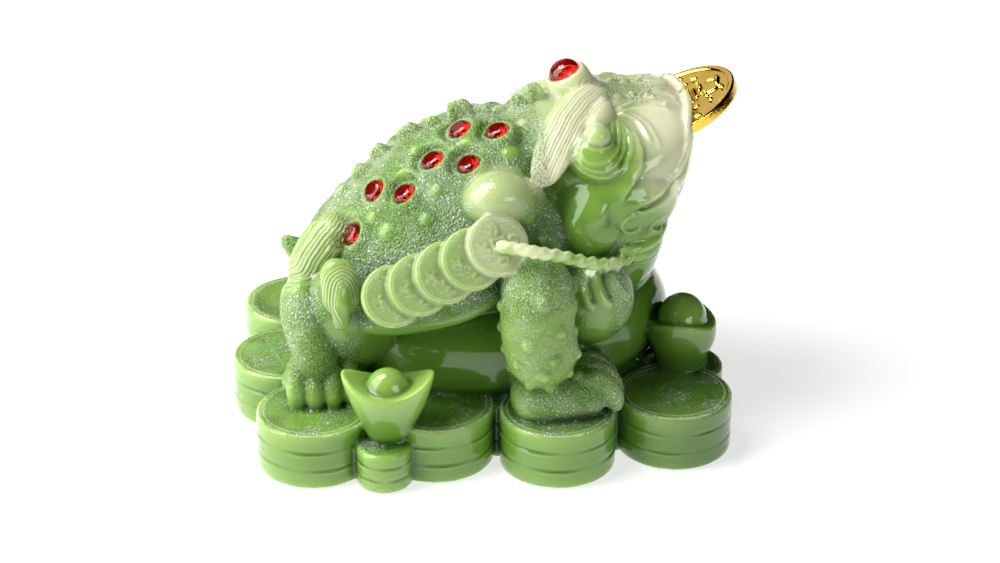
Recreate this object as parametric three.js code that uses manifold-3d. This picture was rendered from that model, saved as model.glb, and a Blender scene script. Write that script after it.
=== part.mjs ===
// Money toad: a three-legged toad, cast in one piece with the coin stacks it sits on, with a coin in its mouth.
// Millimetres. +X is where the toad looks, +Y its left, +Z up. The table is at Z = 0.
import * as THREE from "three";
import { mergeVertices } from "three/addons/utils/BufferGeometryUtils.js";
import Module from "manifold-3d";

const wasm = await Module();
wasm.setup();

// Base: stacks of three coins, their centres in coin radii.
const BASE_COIN_RADIUS = 16.3;
const BASE_COIN_THICKNESS = 5.5;
const COINS_PER_STACK = 3;
const BASE_HEIGHT = BASE_COIN_THICKNESS * COINS_PER_STACK;
const EDGE_ROUNDING = 0.9;
const GROOVE_DEPTH = 0.55;
const GROOVE_WIDTH = 1;
const FILL_DROP = 0.6;
const SMALL_STACK_RADIUS = 7.6;
const SMALL_COIN_THICKNESS = 3.9;
const BOWL_STACK_RADIUS = 12;
const STACK_SIDES = 12;

// The toad's own height, from the top of the base to the top of its head. Its free form is drawn in 84ths
// of this, with heights counted from the top of the base.
const TOAD_HEIGHT = 84;
const TOAD_UNIT = TOAD_HEIGHT / 84;

// Coin in the mouth.
const MOUTH_COIN_RADIUS = 17.5;
const MOUTH_COIN_THICKNESS = 3;
const MOUTH_COIN_RIM_WIDTH = 1.7;
const MOUTH_COIN_RIM_HEIGHT = 0.5;
const MOUTH_COIN_HOLE = 6.4;
const MOUTH_COIN_SIDES = 20;
const MOUTH_COIN_CLEARANCE = 0.3;
const MOUTH_TILT = THREE.MathUtils.degToRad(26.7);

// Stones.
const BACK_STONE_RADIUS = 3.2;
const BACK_STONE_CROWN = 1.2;
const BACK_STONE_PAVILION = 1.5;
const GIRDLE_THICKNESS = 0.4;
const STONE_CLEARANCE = 0.3;
const STONE_SIDES = 8;
const CABOCHON_RADIUS = 4.4;
const CABOCHON_HEIGHT = 3.6;
const CABOCHON_SEAT = 1.4;
const CABOCHON_SIDES = 12;

// String of coins on the right flank, and the rope from it to the mouth.
const STRING_COIN_RADIUS = 8.6;
const STRING_COIN_THICKNESS = 3.4;
const STRING_COIN_STEP = 0.9 * STRING_COIN_RADIUS;
const STRING_COINS = 5;
const STRING_COIN_SIDES = 12;
const STRING_SAG = 1.6;
const ROPE_RADIUS = 1.7;

// Ingots: one on the small stack, one with a large ball at the front.
const INGOT_SINK = 0.4;
const INGOT_SPAN = 24.5;
const INGOT_HEIGHT = 15.5;
const INGOT_HORN = 5.2;
const INGOT_BALL_RADIUS = 6.2;
const BOWL_SPAN = 19;
const BOWL_HEIGHT = 13;
const BOWL_HORN = 2;
const BOWL_BALL_RADIUS = 8.3;

/** A closed geometry as a solid that can be joined and cut, its faces turned outwards. */
function solid(geometry) {
  const bare = geometry.clone();
  bare.deleteAttribute("normal");
  bare.deleteAttribute("uv");
  const merged = mergeVertices(bare, 1e-4);
  const corners = new Uint32Array(merged.index.array);
  const vertices = new Float32Array(merged.attributes.position.array);
  const made = new wasm.Manifold(new wasm.Mesh({ numProp: 3, vertProperties: vertices, triVerts: corners }));
  if (made.volume() > 0) return made;
  for (let i = 0; i < corners.length; i += 3) {
    [corners[i + 1], corners[i + 2]] = [corners[i + 2], corners[i + 1]];
  }
  return new wasm.Manifold(new wasm.Mesh({ numProp: 3, vertProperties: vertices, triVerts: corners }));
}

/** A point of the toad's drawing in the figure's frame. */
function onToad([x, y, z]) {
  return [x * TOAD_UNIT, y * TOAD_UNIT, BASE_HEIGHT + z * TOAD_UNIT];
}

/** A drawn form of the toad as a solid in the figure's frame. */
function toadSolid(geometry) {
  geometry.scale(TOAD_UNIT, TOAD_UNIT, TOAD_UNIT);
  geometry.translate(0, 0, BASE_HEIGHT);
  return solid(geometry);
}

/** A solid as a named mesh with its material. */
function meshOf(name, made, material) {
  const data = made.getMesh();
  const geometry = new THREE.BufferGeometry();
  const vertices = new Float32Array(data.numVert * 3);
  for (let i = 0; i < data.numVert; i++) {
    const start = i * data.numProp;
    vertices.set(data.vertProperties.subarray(start, start + 3), i * 3);
  }
  geometry.setAttribute("position", new THREE.BufferAttribute(vertices, 3));
  geometry.setIndex(new THREE.BufferAttribute(new Uint32Array(data.triVerts), 1));
  geometry.computeVertexNormals();
  const mesh = new THREE.Mesh(geometry, material);
  mesh.name = name;
  return mesh;
}

/** Joins a list of solids. */
function join(solids) {
  return solids.reduce((whole, next) => whole.add(next));
}

/** The matrix that puts +Z along a direction, at a point. */
function facing(at, normal) {
  const turn = new THREE.Quaternion().setFromUnitVectors(
    new THREE.Vector3(0, 0, 1),
    new THREE.Vector3(...normal).normalize(),
  );
  return new THREE.Matrix4().compose(new THREE.Vector3(...at), turn, new THREE.Vector3(1, 1, 1));
}

/** An ellipsoid, turned by Euler angles in degrees. */
function ellipsoid(at, radii, turn = [0, 0, 0], around = 16, rings = 10) {
  const geometry = new THREE.SphereGeometry(1, around, rings);
  geometry.rotateX(Math.PI / 2);
  geometry.scale(...radii);
  const angles = turn.map((a) => THREE.MathUtils.degToRad(a));
  geometry.applyMatrix4(new THREE.Matrix4().makeRotationFromEuler(new THREE.Euler(...angles)));
  geometry.translate(...at);
  return geometry;
}

/** A turned shape: profile points [radius, height] from the axis to the axis, on an axis at a point. */
function turned(profile, at, normal, sides) {
  const points = profile.map(([r, h]) => new THREE.Vector2(r, h));
  const geometry = new THREE.LatheGeometry(points, sides);
  geometry.rotateX(Math.PI / 2);
  geometry.applyMatrix4(facing(at, normal));
  return geometry;
}

/**
 * A body swept along stations [x, y, z, half width, height above, height below].
 * Squares of the sizes are interpolated, so ends of size 0 come out round.
 */
function swept(stations, around = 16, rings = 12, sideways = [0, 1, 0]) {
  const path = new THREE.CatmullRomCurve3(stations.map((s) => new THREE.Vector3(s[0], s[1], s[2])));
  const sizes = new THREE.CatmullRomCurve3(
    stations.map((s) => new THREE.Vector3(s[3] * s[3], s[4] * s[4], (s[5] ?? s[4]) ** 2)),
  );
  path.curveType = "catmullrom";
  sizes.curveType = "catmullrom";
  const geometry = new THREE.SphereGeometry(1, around, rings);
  const position = geometry.attributes.position;
  const reference = new THREE.Vector3(...sideways);
  const row = around + 1;
  for (let ring = 0; ring <= rings; ring++) {
    const even = ring / rings;
    const t = 0.5 * even + 0.25 * (1 - Math.cos(Math.PI * even));
    const centre = path.getPoint(t);
    const size = sizes.getPoint(t);
    const along = path.getTangent(t);
    const side = reference.clone().addScaledVector(along, -along.dot(reference)).normalize();
    const up = new THREE.Vector3().crossVectors(along, side);
    const pole = ring === 0 || ring === rings;
    const width = pole ? 0 : Math.sqrt(Math.max(size.x, 0.01));
    const above = pole ? 0 : Math.sqrt(Math.max(size.y, 0.01));
    const below = pole ? 0 : Math.sqrt(Math.max(size.z, 0.01));
    for (let k = 0; k < row; k++) {
      const angle = (2 * Math.PI * (k % around)) / around;
      const rise = Math.sin(angle);
      const point = centre.clone();
      point.addScaledVector(side, width * Math.cos(angle));
      point.addScaledVector(up, (rise > 0 ? above : below) * rise);
      position.setXYZ(ring * row + k, point.x, point.y, point.z);
    }
  }
  return geometry;
}

/** A round cord along points. */
function cord(points, radius, sides = 8, steps = 14) {
  const path = new THREE.CatmullRomCurve3(points.map((p) => new THREE.Vector3(...p)));
  const section = new THREE.Shape();
  for (let k = 0; k < sides; k++) {
    const angle = (2 * Math.PI * k) / sides;
    const method = k === 0 ? "moveTo" : "lineTo";
    section[method](radius * Math.cos(angle), radius * Math.sin(angle));
  }
  section.closePath();
  return new THREE.ExtrudeGeometry(section, { steps, extrudePath: path, curveSegments: 1 });
}

/** A stack of coins standing on the table. */
function stack([x, y], radius = BASE_COIN_RADIUS, thickness = BASE_COIN_THICKNESS) {
  const top = thickness * COINS_PER_STACK;
  const profile = [[0, 0], [radius, 0]];
  for (let coin = 1; coin < COINS_PER_STACK; coin++) {
    const joint = coin * thickness;
    profile.push([radius, joint - GROOVE_WIDTH / 2]);
    profile.push([radius - GROOVE_DEPTH, joint]);
    profile.push([radius, joint + GROOVE_WIDTH / 2]);
  }
  profile.push([radius, top - EDGE_ROUNDING]);
  profile.push([radius - EDGE_ROUNDING, top]);
  profile.push([0, top]);
  return turned(profile, [x, y, 0], [0, 0, 1], STACK_SIDES);
}

/** A boat-shaped ingot with raised ends and a ball in its middle, standing at a height. */
function ingot([x, y], stands, { span, height, horn, ball, turn }) {
  const half = span / 2;
  const profile = [
    [0, 0],
    [half * 0.5, 0],
    [half * 0.62, height * 0.3],
    [half * 0.85, height * 0.72],
    [half, height],
    [half * 0.9, height],
    [0, height * 0.8],
  ];
  const boat = new THREE.LatheGeometry(profile.map(([r, h]) => new THREE.Vector2(r, h)), 10);
  boat.rotateX(Math.PI / 2);
  const position = boat.attributes.position;
  for (let i = 0; i < position.count; i++) {
    const share = Math.abs(position.getX(i)) / half;
    const level = position.getZ(i) / height;
    position.setY(i, position.getY(i) * 0.66);
    position.setZ(i, position.getZ(i) + horn * share ** 2 * Math.max(0, level - 0.2) * 1.25);
  }
  boat.rotateZ(THREE.MathUtils.degToRad(turn));
  boat.translate(x, y, stands - INGOT_SINK);
  const middle = [x, y, stands - INGOT_SINK + height * 0.88];
  return join([solid(boat), solid(ellipsoid(middle, [ball, ball * 0.9, ball], [0, 0, turn], 9, 6))]);
}

/** Centres given in coin radii, in millimetres. */
function inRadii([x, y]) {
  return [x * BASE_COIN_RADIUS, y * BASE_COIN_RADIUS];
}

// Stacks round the edge, from the right rear corner along the right side, and back along the left.
const RIGHT_STACKS = [[-3.15, -2.06], [-1.1, -2.17], [0.92, -2.63], [2.99, -2.32]].map(inRadii);
const FRONT_STACKS = [[2.76, 0.55], [2.58, 2.36]].map(inRadii);
const LEFT_STACKS = [[0.67, 2.61], [-1.26, 2.24], [-3.15, 2.06], [-3.45, 0]].map(inRadii);
const BOWL_STACK = inRadii([3.31, -1.32]);
const SMALL_STACK = inRadii([-2.06, -2.92]);

/** The base: stacks of coins, filled in between their centres. */
function base() {
  const ring = [...RIGHT_STACKS, BOWL_STACK, ...FRONT_STACKS, ...LEFT_STACKS];
  const outline = new THREE.Shape(ring.map(([x, y]) => new THREE.Vector2(x, y)));
  const fill = new THREE.ExtrudeGeometry(outline, { depth: BASE_HEIGHT - FILL_DROP, bevelEnabled: false });
  return join([
    solid(fill),
    ...[...RIGHT_STACKS, ...FRONT_STACKS, ...LEFT_STACKS].map((centre) => solid(stack(centre))),
    solid(stack(BOWL_STACK, BOWL_STACK_RADIUS)),
    solid(stack(SMALL_STACK, SMALL_STACK_RADIUS, SMALL_COIN_THICKNESS)),
  ]);
}

/** Trunk and head, without limbs. */
function trunk() {
  const back = swept(
    [
      [-55, 0, 13.5, 0, 0, 0],
      [-51, 0, 13.5, 13, 10, 11],
      [-42, 0, 17.5, 19, 18, 14],
      [-30, 0, 24.5, 27, 26, 15],
      [-12, 0, 30.5, 34, 34.5, 16],
      [6, 0, 35.5, 36, 36, 18],
      [20, 0, 39.5, 33, 33, 20],
      [32, 0, 41.5, 20, 22, 20],
      [36, 0, 43.5, 0, 0, 0],
    ],
    16,
    10,
  );
  const belly = ellipsoid([3.5, 0, 10.5], [50, 37, 25.5], [0, 0, 0], 14, 6);
  const skull = swept(
    [
      [4, 0, 49.5, 0, 0, 0],
      [8, 0, 51.5, 22, 18, 20],
      [18, 0, 54.5, 31, 22, 26],
      [32, 0, 57.5, 31, 21.5, 26],
      [44, 0, 62.5, 27, 16.5, 22],
      [53.5, 0, 69.5, 19.5, 8.5, 11],
      [57, 0, 72.5, 0, 0, 0],
    ],
    14,
    8,
  );
  const jaw = swept(
    [
      [28, 0, 43.5, 0, 0, 0],
      [36, 0, 45.5, 26, 12, 13],
      [45, 0, 50.5, 20, 12, 13],
      [51, 0, 57.5, 14, 9, 11],
      [55.5, 0, 63.5, 0, 0, 0],
    ],
    10,
    6,
  );
  const throat = ellipsoid([31, 0, 31.5], [20, 25, 18], [0, 0, 0], 9, 5);
  return [back, belly, skull, jaw, throat];
}

/** Brow, eye and shoulder ball of one side: -1 right, +1 left. */
function faceSide(side) {
  const brow = swept(
    [
      [34, side * 8, 74.5, 0, 0, 0],
      [31, side * 11, 75, 5, 4, 4],
      [25, side * 17, 72, 6, 4.5, 4],
      [18, side * 22, 65.5, 5.5, 4, 4],
      [12, side * 26, 59.5, 0, 0, 0],
    ],
    7,
    6,
    [0.7, 0, 0.7],
  );
  const eye = ellipsoid([30, side * 18, 69.5], [5.5, 5, 5], [0, 0, 0], 8, 6);
  const shoulder = ellipsoid([0.6, side < 0 ? -28 : 25, side < 0 ? 58 : 56], [9, 8, 8.5], [0, 0, 0], 9, 6);
  return [brow, eye, shoulder];
}

/** Front leg of one side, with its foot on the stack beneath. */
function frontLeg(side) {
  const arm = swept(
    [
      [3, side * 33, 49.5, 0, 0, 0],
      [5, side * 36, 44.5, 9, 7, 7],
      [8.5, side * 42, 35.5, 10.5, 9, 9],
      [9.5, side * 44.5, 26.5, 10.2, 9, 9],
      [11, side * 45.5, 16.5, 9.6, 8.5, 8.5],
      [12.5, side * 46, 9.5, 7.5, 7, 7],
      [13, side * 46, 5, 0, 0, 0],
    ],
    10,
    7,
    [1, 0, 0],
  );
  const upper = ellipsoid([27, side * 32, 28.5], [11, 10, 15], [0, 14, 0], 8, 6);
  const foot = swept(
    [
      [3, side * 41, 1.5, 0, 0, 0],
      [7, side * 41, 2.5, 9, 7, 5],
      [18, side * 40, 4, 11.5, 9, 6],
      [28, side * 39.5, 3.5, 11.5, 8, 6],
      [34, side * 39, 2, 0, 0, 0],
    ],
    10,
    6,
  );
  const toes = [-8.5, -3, 2.5, 8].map((spread, i) => {
    const tip = [30.5 - 0.5 * Math.abs(i - 1.5), side * (40 + spread), 3.1];
    return ellipsoid(tip, [6, 2.9, 4], [0, 8, side * spread * 1.5], 6, 3);
  });
  return [arm, upper, foot, ...toes];
}

/** The single hind leg, its foot on the right rear stack, and the haunches. */
function hindQuarters() {
  const haunches = [
    ellipsoid([-40, -22, 20.5], [17, 14, 17.5], [12, -10, 0], 11, 7),
    ellipsoid([-34, 16, 17.5], [17, 14, 15], [-12, -10, 0], 8, 5),
  ];
  const shank = swept(
    [
      [-44, -20, 25.5, 0, 0, 0],
      [-48, -23, 21.5, 8, 8, 8],
      [-50, -26, 14.5, 7, 7, 7],
      [-50.5, -26, 7.5, 6.5, 6, 6],
      [-50.5, -26, 0.5, 0, 0, 0],
    ],
    10,
    7,
    [1, 0, 0],
  );
  const foot = ellipsoid([-50.5, -23.5, 4], [10.5, 9.5, 6.5], [0, 0, 0], 10, 5);
  const toes = [-7.8, -2.7, 2.7, 7.8].map((spread) => {
    const tip = [-50.3 + spread, -31.5 + 0.05 * spread ** 2, 3.5];
    return ellipsoid(tip, [2.7, 4.8, 4.4], [12, 0, spread * 2.5], 6, 3);
  });
  const tuft = swept(
    [
      [-41, -8, 43.5, 0, 0, 0],
      [-44.5, -9, 40.5, 5, 4, 5],
      [-49, -11, 33.5, 6, 4.5, 5],
      [-53.5, -12, 26.5, 4, 4, 4],
      [-56, -12, 21.5, 0, 0, 0],
    ],
    8,
    6,
  );
  const scroll = swept(
    [
      [-40, -27, 42.5, 0, 0, 0],
      [-42.5, -29, 39.5, 6, 3.5, 4],
      [-43.5, -32, 33.5, 5.5, 3.5, 4],
      [-43.5, -34.5, 27.5, 0, 0, 0],
    ],
    8,
    6,
    [1, 0, 0],
  );
  return [...haunches, shank, foot, ...toes, tuft, scroll];
}

/** Crest: bumps and spikes along the spine, [x, z, size, height]. */
function crest() {
  const bumps = [
    [12.5, 72, 3.4, 8],
    [3.5, 71, 3, 5],
    [-5.5, 68, 3.4, 7.5],
    [-13, 65, 2.8, 4.5],
    [-20, 61, 2.8, 5.5],
    [-26.5, 57, 2.8, 5.5],
    [-32.5, 52.5, 2.8, 5.5],
    [-37.5, 47, 2.8, 5],
    [-41.5, 41, 2.6, 4.5],
  ];
  return bumps.map(([x, z, size, height]) => {
    return ellipsoid([x, 0, z], [size, size * 0.9, height], [0, -35, 0], 6, 3);
  });
}

/** The crown boss that carries the cabochon. */
function crown() {
  return swept(
    [
      [34, 0, 67.5, 0, 0, 0],
      [31, 0, 71.5, 7, 6, 6],
      [26, 0, 77, 6.8, 6.4, 6],
      [23.2, 0, 81.8, 5.2, 4.8, 4.8],
      [22.6, 0, 82.7, 0, 0, 0],
    ],
    10,
    6,
  );
}

// The string of coins: centre of the first, the way it runs along the flank, and the way its coins face.
const STRING_START = [-1.2, -37.6, 48.2];
const STRING_ALONG = new THREE.Vector3(-0.896, -0.013, -0.445).normalize();
const STRING_OUT = new THREE.Vector3(0.1, -0.86, 0.5).normalize();

/** Five coins on a string along the right flank, each lapping the next, on a ridge of the flank. */
function coinString() {
  const half = STRING_COIN_THICKNESS / 2;
  const profile = [[0, -half], [STRING_COIN_RADIUS, -half], [STRING_COIN_RADIUS, half], [0, half]];
  const coins = [];
  for (let i = 0; i < STRING_COINS; i++) {
    const at = new THREE.Vector3(...onToad(STRING_START)).addScaledVector(STRING_ALONG, i * STRING_COIN_STEP);
    at.y -= STRING_SAG * Math.sin((Math.PI * i) / (STRING_COINS - 1));
    coins.push(turned(profile, at.toArray(), STRING_OUT.toArray(), STRING_COIN_SIDES));
  }
  const depth = 0.8 * STRING_COIN_RADIUS;
  const ridge = [-0.5, 0, 1, 2, 3, 4, 4.5].map((i, k, all) => {
    const at = new THREE.Vector3(...onToad(STRING_START)).addScaledVector(STRING_ALONG, i * STRING_COIN_STEP);
    at.addScaledVector(STRING_OUT, -depth);
    const size = k === 0 || k === all.length - 1 ? 0 : depth;
    return [...at.toArray(), size, size];
  });
  return [...coins, swept(ridge, 7, 5)];
}

// Where the back stones sit: point on the back and direction out of it.
const BACK_STONES = [
  { at: [2.7, -10.1, 69.6], out: [-0.32, -0.14, 0.94] },
  { at: [-7.0, -5.0, 68.5], out: [-0.5, -0.14, 0.86] },
  { at: [-6.4, -18.1, 63.7], out: [-0.41, -0.24, 0.88] },
  { at: [-15.6, -12.8, 63.1], out: [-0.49, -0.17, 0.86] },
  { at: [-23.9, -17.1, 55.6], out: [-0.55, -0.2, 0.81] },
  { at: [-31.6, -10.2, 53.9], out: [-0.69, -0.32, 0.65] },
  { at: [-38.4, -15.6, 43.7], out: [-0.76, -0.28, 0.58] },
];

/** A cut stone: flat table, sloping crown, thin girdle at height 0, cone below with a blunt point. */
function backStone({ at, out }) {
  const profile = [
    [0, -BACK_STONE_PAVILION],
    [BACK_STONE_RADIUS * 0.35, -BACK_STONE_PAVILION],
    [BACK_STONE_RADIUS, -GIRDLE_THICKNESS / 2],
    [BACK_STONE_RADIUS, GIRDLE_THICKNESS / 2],
    [BACK_STONE_RADIUS * 0.6, BACK_STONE_CROWN],
    [0, BACK_STONE_CROWN],
  ];
  return turned(profile, onToad(at), out, STONE_SIDES);
}

/** The seat of a cut stone: a dish under it, open above. */
function backStoneSeat({ at, out }) {
  const wide = BACK_STONE_RADIUS + STONE_CLEARANCE;
  const profile = [
    [0, -BACK_STONE_PAVILION - STONE_CLEARANCE],
    [BACK_STONE_RADIUS * 0.35 + STONE_CLEARANCE, -BACK_STONE_PAVILION - STONE_CLEARANCE],
    [wide, -GIRDLE_THICKNESS / 2 - STONE_CLEARANCE],
    [wide, 3 * BACK_STONE_CROWN],
    [0, 3 * BACK_STONE_CROWN],
  ];
  return turned(profile, onToad(at), out, STONE_SIDES);
}

// The crown stone and the mouth coin: where they sit and which way they face.
const CABOCHON_AT = onToad([22.9, 0, 81.7]);
const CABOCHON_OUT = [-0.43, 0, 0.9];
const MOUTH_COIN_AT = onToad([55.4, 0, 69.8]);
const MOUTH_COIN_OUT = [-Math.sin(MOUTH_TILT), 0, Math.cos(MOUTH_TILT)];

/** The crown stone: a low drum with a dome. */
function cabochon() {
  const profile = [[0, -CABOCHON_SEAT], [CABOCHON_RADIUS, -CABOCHON_SEAT], [CABOCHON_RADIUS, 0]];
  for (let k = 1; k < 4; k++) {
    const angle = (k / 4) * (Math.PI / 2);
    profile.push([CABOCHON_RADIUS * Math.cos(angle), CABOCHON_HEIGHT * Math.sin(angle)]);
  }
  profile.push([0, CABOCHON_HEIGHT]);
  return turned(profile, CABOCHON_AT, CABOCHON_OUT, CABOCHON_SIDES);
}

/** The round seat of the crown stone, open above. */
function cabochonSeat() {
  const radius = CABOCHON_RADIUS + STONE_CLEARANCE;
  const floor = -CABOCHON_SEAT - STONE_CLEARANCE;
  const profile = [[0, floor], [radius, floor], [radius, CABOCHON_HEIGHT], [0, CABOCHON_HEIGHT]];
  return turned(profile, CABOCHON_AT, CABOCHON_OUT, CABOCHON_SIDES);
}

/** The coin in the mouth: raised rims, square hole. */
function mouthCoin() {
  const half = MOUTH_COIN_THICKNESS / 2;
  const field = half - MOUTH_COIN_RIM_HEIGHT;
  const inner = MOUTH_COIN_RADIUS - MOUTH_COIN_RIM_WIDTH;
  const profile = [
    [0, -field],
    [inner, -field],
    [inner, -half],
    [MOUTH_COIN_RADIUS, -half],
    [MOUTH_COIN_RADIUS, half],
    [inner, half],
    [inner, field],
    [0, field],
  ];
  const disc = turned(profile, MOUTH_COIN_AT, MOUTH_COIN_OUT, MOUTH_COIN_SIDES);
  const hole = new THREE.BoxGeometry(MOUTH_COIN_HOLE, MOUTH_COIN_HOLE, 3 * MOUTH_COIN_THICKNESS);
  hole.applyMatrix4(facing(MOUTH_COIN_AT, MOUTH_COIN_OUT));
  return solid(disc).subtract(solid(hole));
}

/** The slot that the coin is pushed into. */
function mouthSlot() {
  const half = MOUTH_COIN_THICKNESS / 2 + MOUTH_COIN_CLEARANCE;
  const radius = MOUTH_COIN_RADIUS + MOUTH_COIN_CLEARANCE;
  const profile = [[0, -half], [radius, -half], [radius, half], [0, half]];
  return turned(profile, MOUTH_COIN_AT, MOUTH_COIN_OUT, MOUTH_COIN_SIDES);
}

/** The upper lip: a rolled rim from one mouth corner over the snout to the other. */
function lips() {
  const half = [
    [56.6, 0, 74.9],
    [56.2, 8, 74.4],
    [54.4, 15, 71.9],
    [51, 20, 66.3],
    [47, 24, 60],
    [42, 27, 54.5],
    [36, 29, 50.9],
  ];
  const right = half.map(([x, y, z]) => [x, -y, z]).reverse();
  return cord([...right, ...half.slice(1)], 2.3, 5, 11);
}

/** The rope from the string of coins round to the mouth corner. */
function rope() {
  const points = [
    [0, -42, 48.7],
    [8.7, -43, 48],
    [18, -41, 45],
    [26, -36.5, 42],
    [34, -32, 40],
    [40, -28, 42],
    [41.5, -26, 46.5],
  ];
  return cord(points.map(onToad), ROPE_RADIUS, 5, 8);
}

const resin = new THREE.MeshStandardMaterial({ color: 0x79b54a, roughness: 0.25, metalness: 0 });
const gold = new THREE.MeshStandardMaterial({ color: 0xd8a01c, roughness: 0.2, metalness: 1 });
const ruby = new THREE.MeshStandardMaterial({ color: 0xc0120e, roughness: 0.1, metalness: 0 });

const sides = [-1, 1].flatMap((side) => [...faceSide(side), ...frontLeg(side)]);
const toad = [...trunk(), ...sides, ...hindQuarters(), ...crest(), crown(), lips()];
const ingots = [
  ingot(SMALL_STACK, SMALL_COIN_THICKNESS * COINS_PER_STACK, {
    span: INGOT_SPAN,
    height: INGOT_HEIGHT,
    horn: INGOT_HORN,
    ball: INGOT_BALL_RADIUS,
    turn: 4,
  }),
  ingot(BOWL_STACK, BASE_HEIGHT, {
    span: BOWL_SPAN,
    height: BOWL_HEIGHT,
    horn: BOWL_HORN,
    ball: BOWL_BALL_RADIUS,
    turn: 20,
  }),
];
const figure = join([base(), ...toad.map(toadSolid), ...coinString().map(solid), solid(rope()), ...ingots]);
const seats = [mouthSlot(), cabochonSeat(), ...BACK_STONES.map(backStoneSeat)];
const casting = seats.reduce((whole, seat) => whole.subtract(solid(seat)), figure);

const root = new THREE.Group();
root.add(meshOf("toad_casting", casting, resin));
root.add(meshOf("mouth_coin", mouthCoin(), gold));
root.add(meshOf("crown_cabochon", solid(cabochon()), ruby));
BACK_STONES.forEach((stone, i) => {
  root.add(meshOf(`back_stone_${i + 1}`, solid(backStone(stone)), ruby));
});

// The origin goes under the middle of the whole figure.
const extent = new THREE.Box3().setFromObject(root);
root.position.set(-(extent.min.x + extent.max.x) / 2, -(extent.min.y + extent.max.y) / 2, 0);

export default root;
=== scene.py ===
"""Visual model of the money toad figure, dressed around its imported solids.

Forms are modelled in millimetres, with heights counted from the table, and are brought to the frame's
metres when a piece is finished.
"""

import logging
import math
from dataclasses import dataclass, field
from enum import Enum
from typing import Callable, Optional, Sequence

import bpy
import numpy as np
from mathutils import Matrix, Vector


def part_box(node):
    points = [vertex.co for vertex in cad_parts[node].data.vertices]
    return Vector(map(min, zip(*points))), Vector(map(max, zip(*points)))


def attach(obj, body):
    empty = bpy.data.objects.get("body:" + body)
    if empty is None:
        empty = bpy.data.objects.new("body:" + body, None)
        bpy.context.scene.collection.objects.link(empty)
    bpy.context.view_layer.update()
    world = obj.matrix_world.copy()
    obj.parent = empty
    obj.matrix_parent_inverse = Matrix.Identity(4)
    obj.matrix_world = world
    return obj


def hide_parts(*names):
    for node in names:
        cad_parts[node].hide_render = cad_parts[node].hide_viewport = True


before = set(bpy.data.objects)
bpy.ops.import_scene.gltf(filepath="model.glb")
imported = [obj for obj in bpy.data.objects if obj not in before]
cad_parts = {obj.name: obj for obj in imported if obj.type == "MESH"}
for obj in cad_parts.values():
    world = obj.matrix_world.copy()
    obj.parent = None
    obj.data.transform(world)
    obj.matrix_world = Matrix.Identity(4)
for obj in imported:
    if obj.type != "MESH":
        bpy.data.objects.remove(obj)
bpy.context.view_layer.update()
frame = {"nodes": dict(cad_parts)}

log = logging.getLogger("money_toad")
logging.basicConfig(level=logging.INFO, format="%(name)s: %(message)s")

MM = 0.001
DOUBLES = 1e-4
TINY = 1e-9
BODY = "root"
Point = Sequence[float]
Station = Sequence[float]
Profile = Callable[[np.ndarray], np.ndarray]
Socket = bpy.types.NodeSocket
Piece = bpy.types.Object
Spot = tuple[str, Point, Point, float, float]


class Side(Enum):
    """A side of the toad; the value is the sign of its Y."""

    RIGHT = -1
    LEFT = 1


def drawing_shift() -> Vector:
    """Where the drawing's origin lies in the frame, in metres.

    Returns:
        What brings the coin's drawn centre to its packed one.
    """
    low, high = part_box("mouth_coin")
    centre = (low + high) / 2
    return Vector((centre.x - MouthCoin.drawn_x * MM, centre.y, 0.0))


def unit(vectors: np.ndarray) -> np.ndarray:
    """Vectors of length 1 along the given ones."""
    return vectors / np.maximum(np.linalg.norm(vectors, axis=-1, keepdims=True), TINY)


def step(x: np.ndarray, low: float, high: float) -> np.ndarray:
    """A smooth step from 0 at low to 1 at high."""
    t = np.clip((x - low) / (high - low), 0.0, 1.0)
    return t * t * (3.0 - 2.0 * t)


def smooth_line(points: Sequence[Point], at: np.ndarray) -> np.ndarray:
    """The smooth curve through points.

    Args:
        points: rows of any number of values.
        at: places along the curve, from 0 to 1.

    Returns:
        One row of values for each place.
    """
    p = np.asarray(points, float)
    p = np.vstack([2 * p[0] - p[1], p, 2 * p[-1] - p[-2]])
    s = np.clip(at, 0.0, 1.0) * (len(points) - 1)
    i = np.minimum(s.astype(int), len(points) - 2)
    w = (s - i)[:, None]
    a, b, c, d = p[i], p[i + 1], p[i + 2], p[i + 3]
    return 0.5 * (2 * b + (c - a) * w + (2 * a - 5 * b + 4 * c - d) * w**2 + (3 * b - a - 3 * c + d) * w**3)


def facing(at: Point, normal: Point) -> Matrix:
    """The matrix that puts +Z along a direction, at a point."""
    turn = Vector((0, 0, 1)).rotation_difference(Vector(normal).normalized())
    return Matrix.Translation(Vector(at)) @ turn.to_matrix().to_4x4()


def mirrored(points: Sequence[Point], side: Side) -> list[list[float]]:
    """Points drawn for the right side, on the given side."""
    return [[p[0], p[1] * -side.value, *p[2:]] for p in points]


def middle_of(stations: Sequence[Station]) -> list[Point]:
    """The middle line of a swept body, without its ends."""
    return [station[:3] for station in stations][1:-1]


def full_station(station: Station) -> tuple[float, ...]:
    """A station with all its sizes: one without any is an end, and one with a single size is round."""
    sizes = station[3:] or (0, 0, 0)
    return (*station[:3], *(sizes if len(sizes) == 3 else (sizes[0],) * 3))


def read_points(piece: Piece) -> np.ndarray:
    """Reads the vertices of a mesh object.

    Args:
        piece: the mesh object.

    Returns:
        One row of x, y and z for each vertex.
    """
    flat = np.empty(len(piece.data.vertices) * 3, np.float32)
    piece.data.vertices.foreach_get("co", flat)
    return flat.reshape(-1, 3).astype(float)


def write_points(piece: Piece, points: np.ndarray) -> None:
    """Moves the vertices of a mesh object."""
    piece.data.vertices.foreach_set("co", points.astype(np.float32).ravel())
    piece.data.update()


def clear_selection() -> None:
    """Deselects every object."""
    bpy.ops.object.select_all(action="DESELECT")


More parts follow.
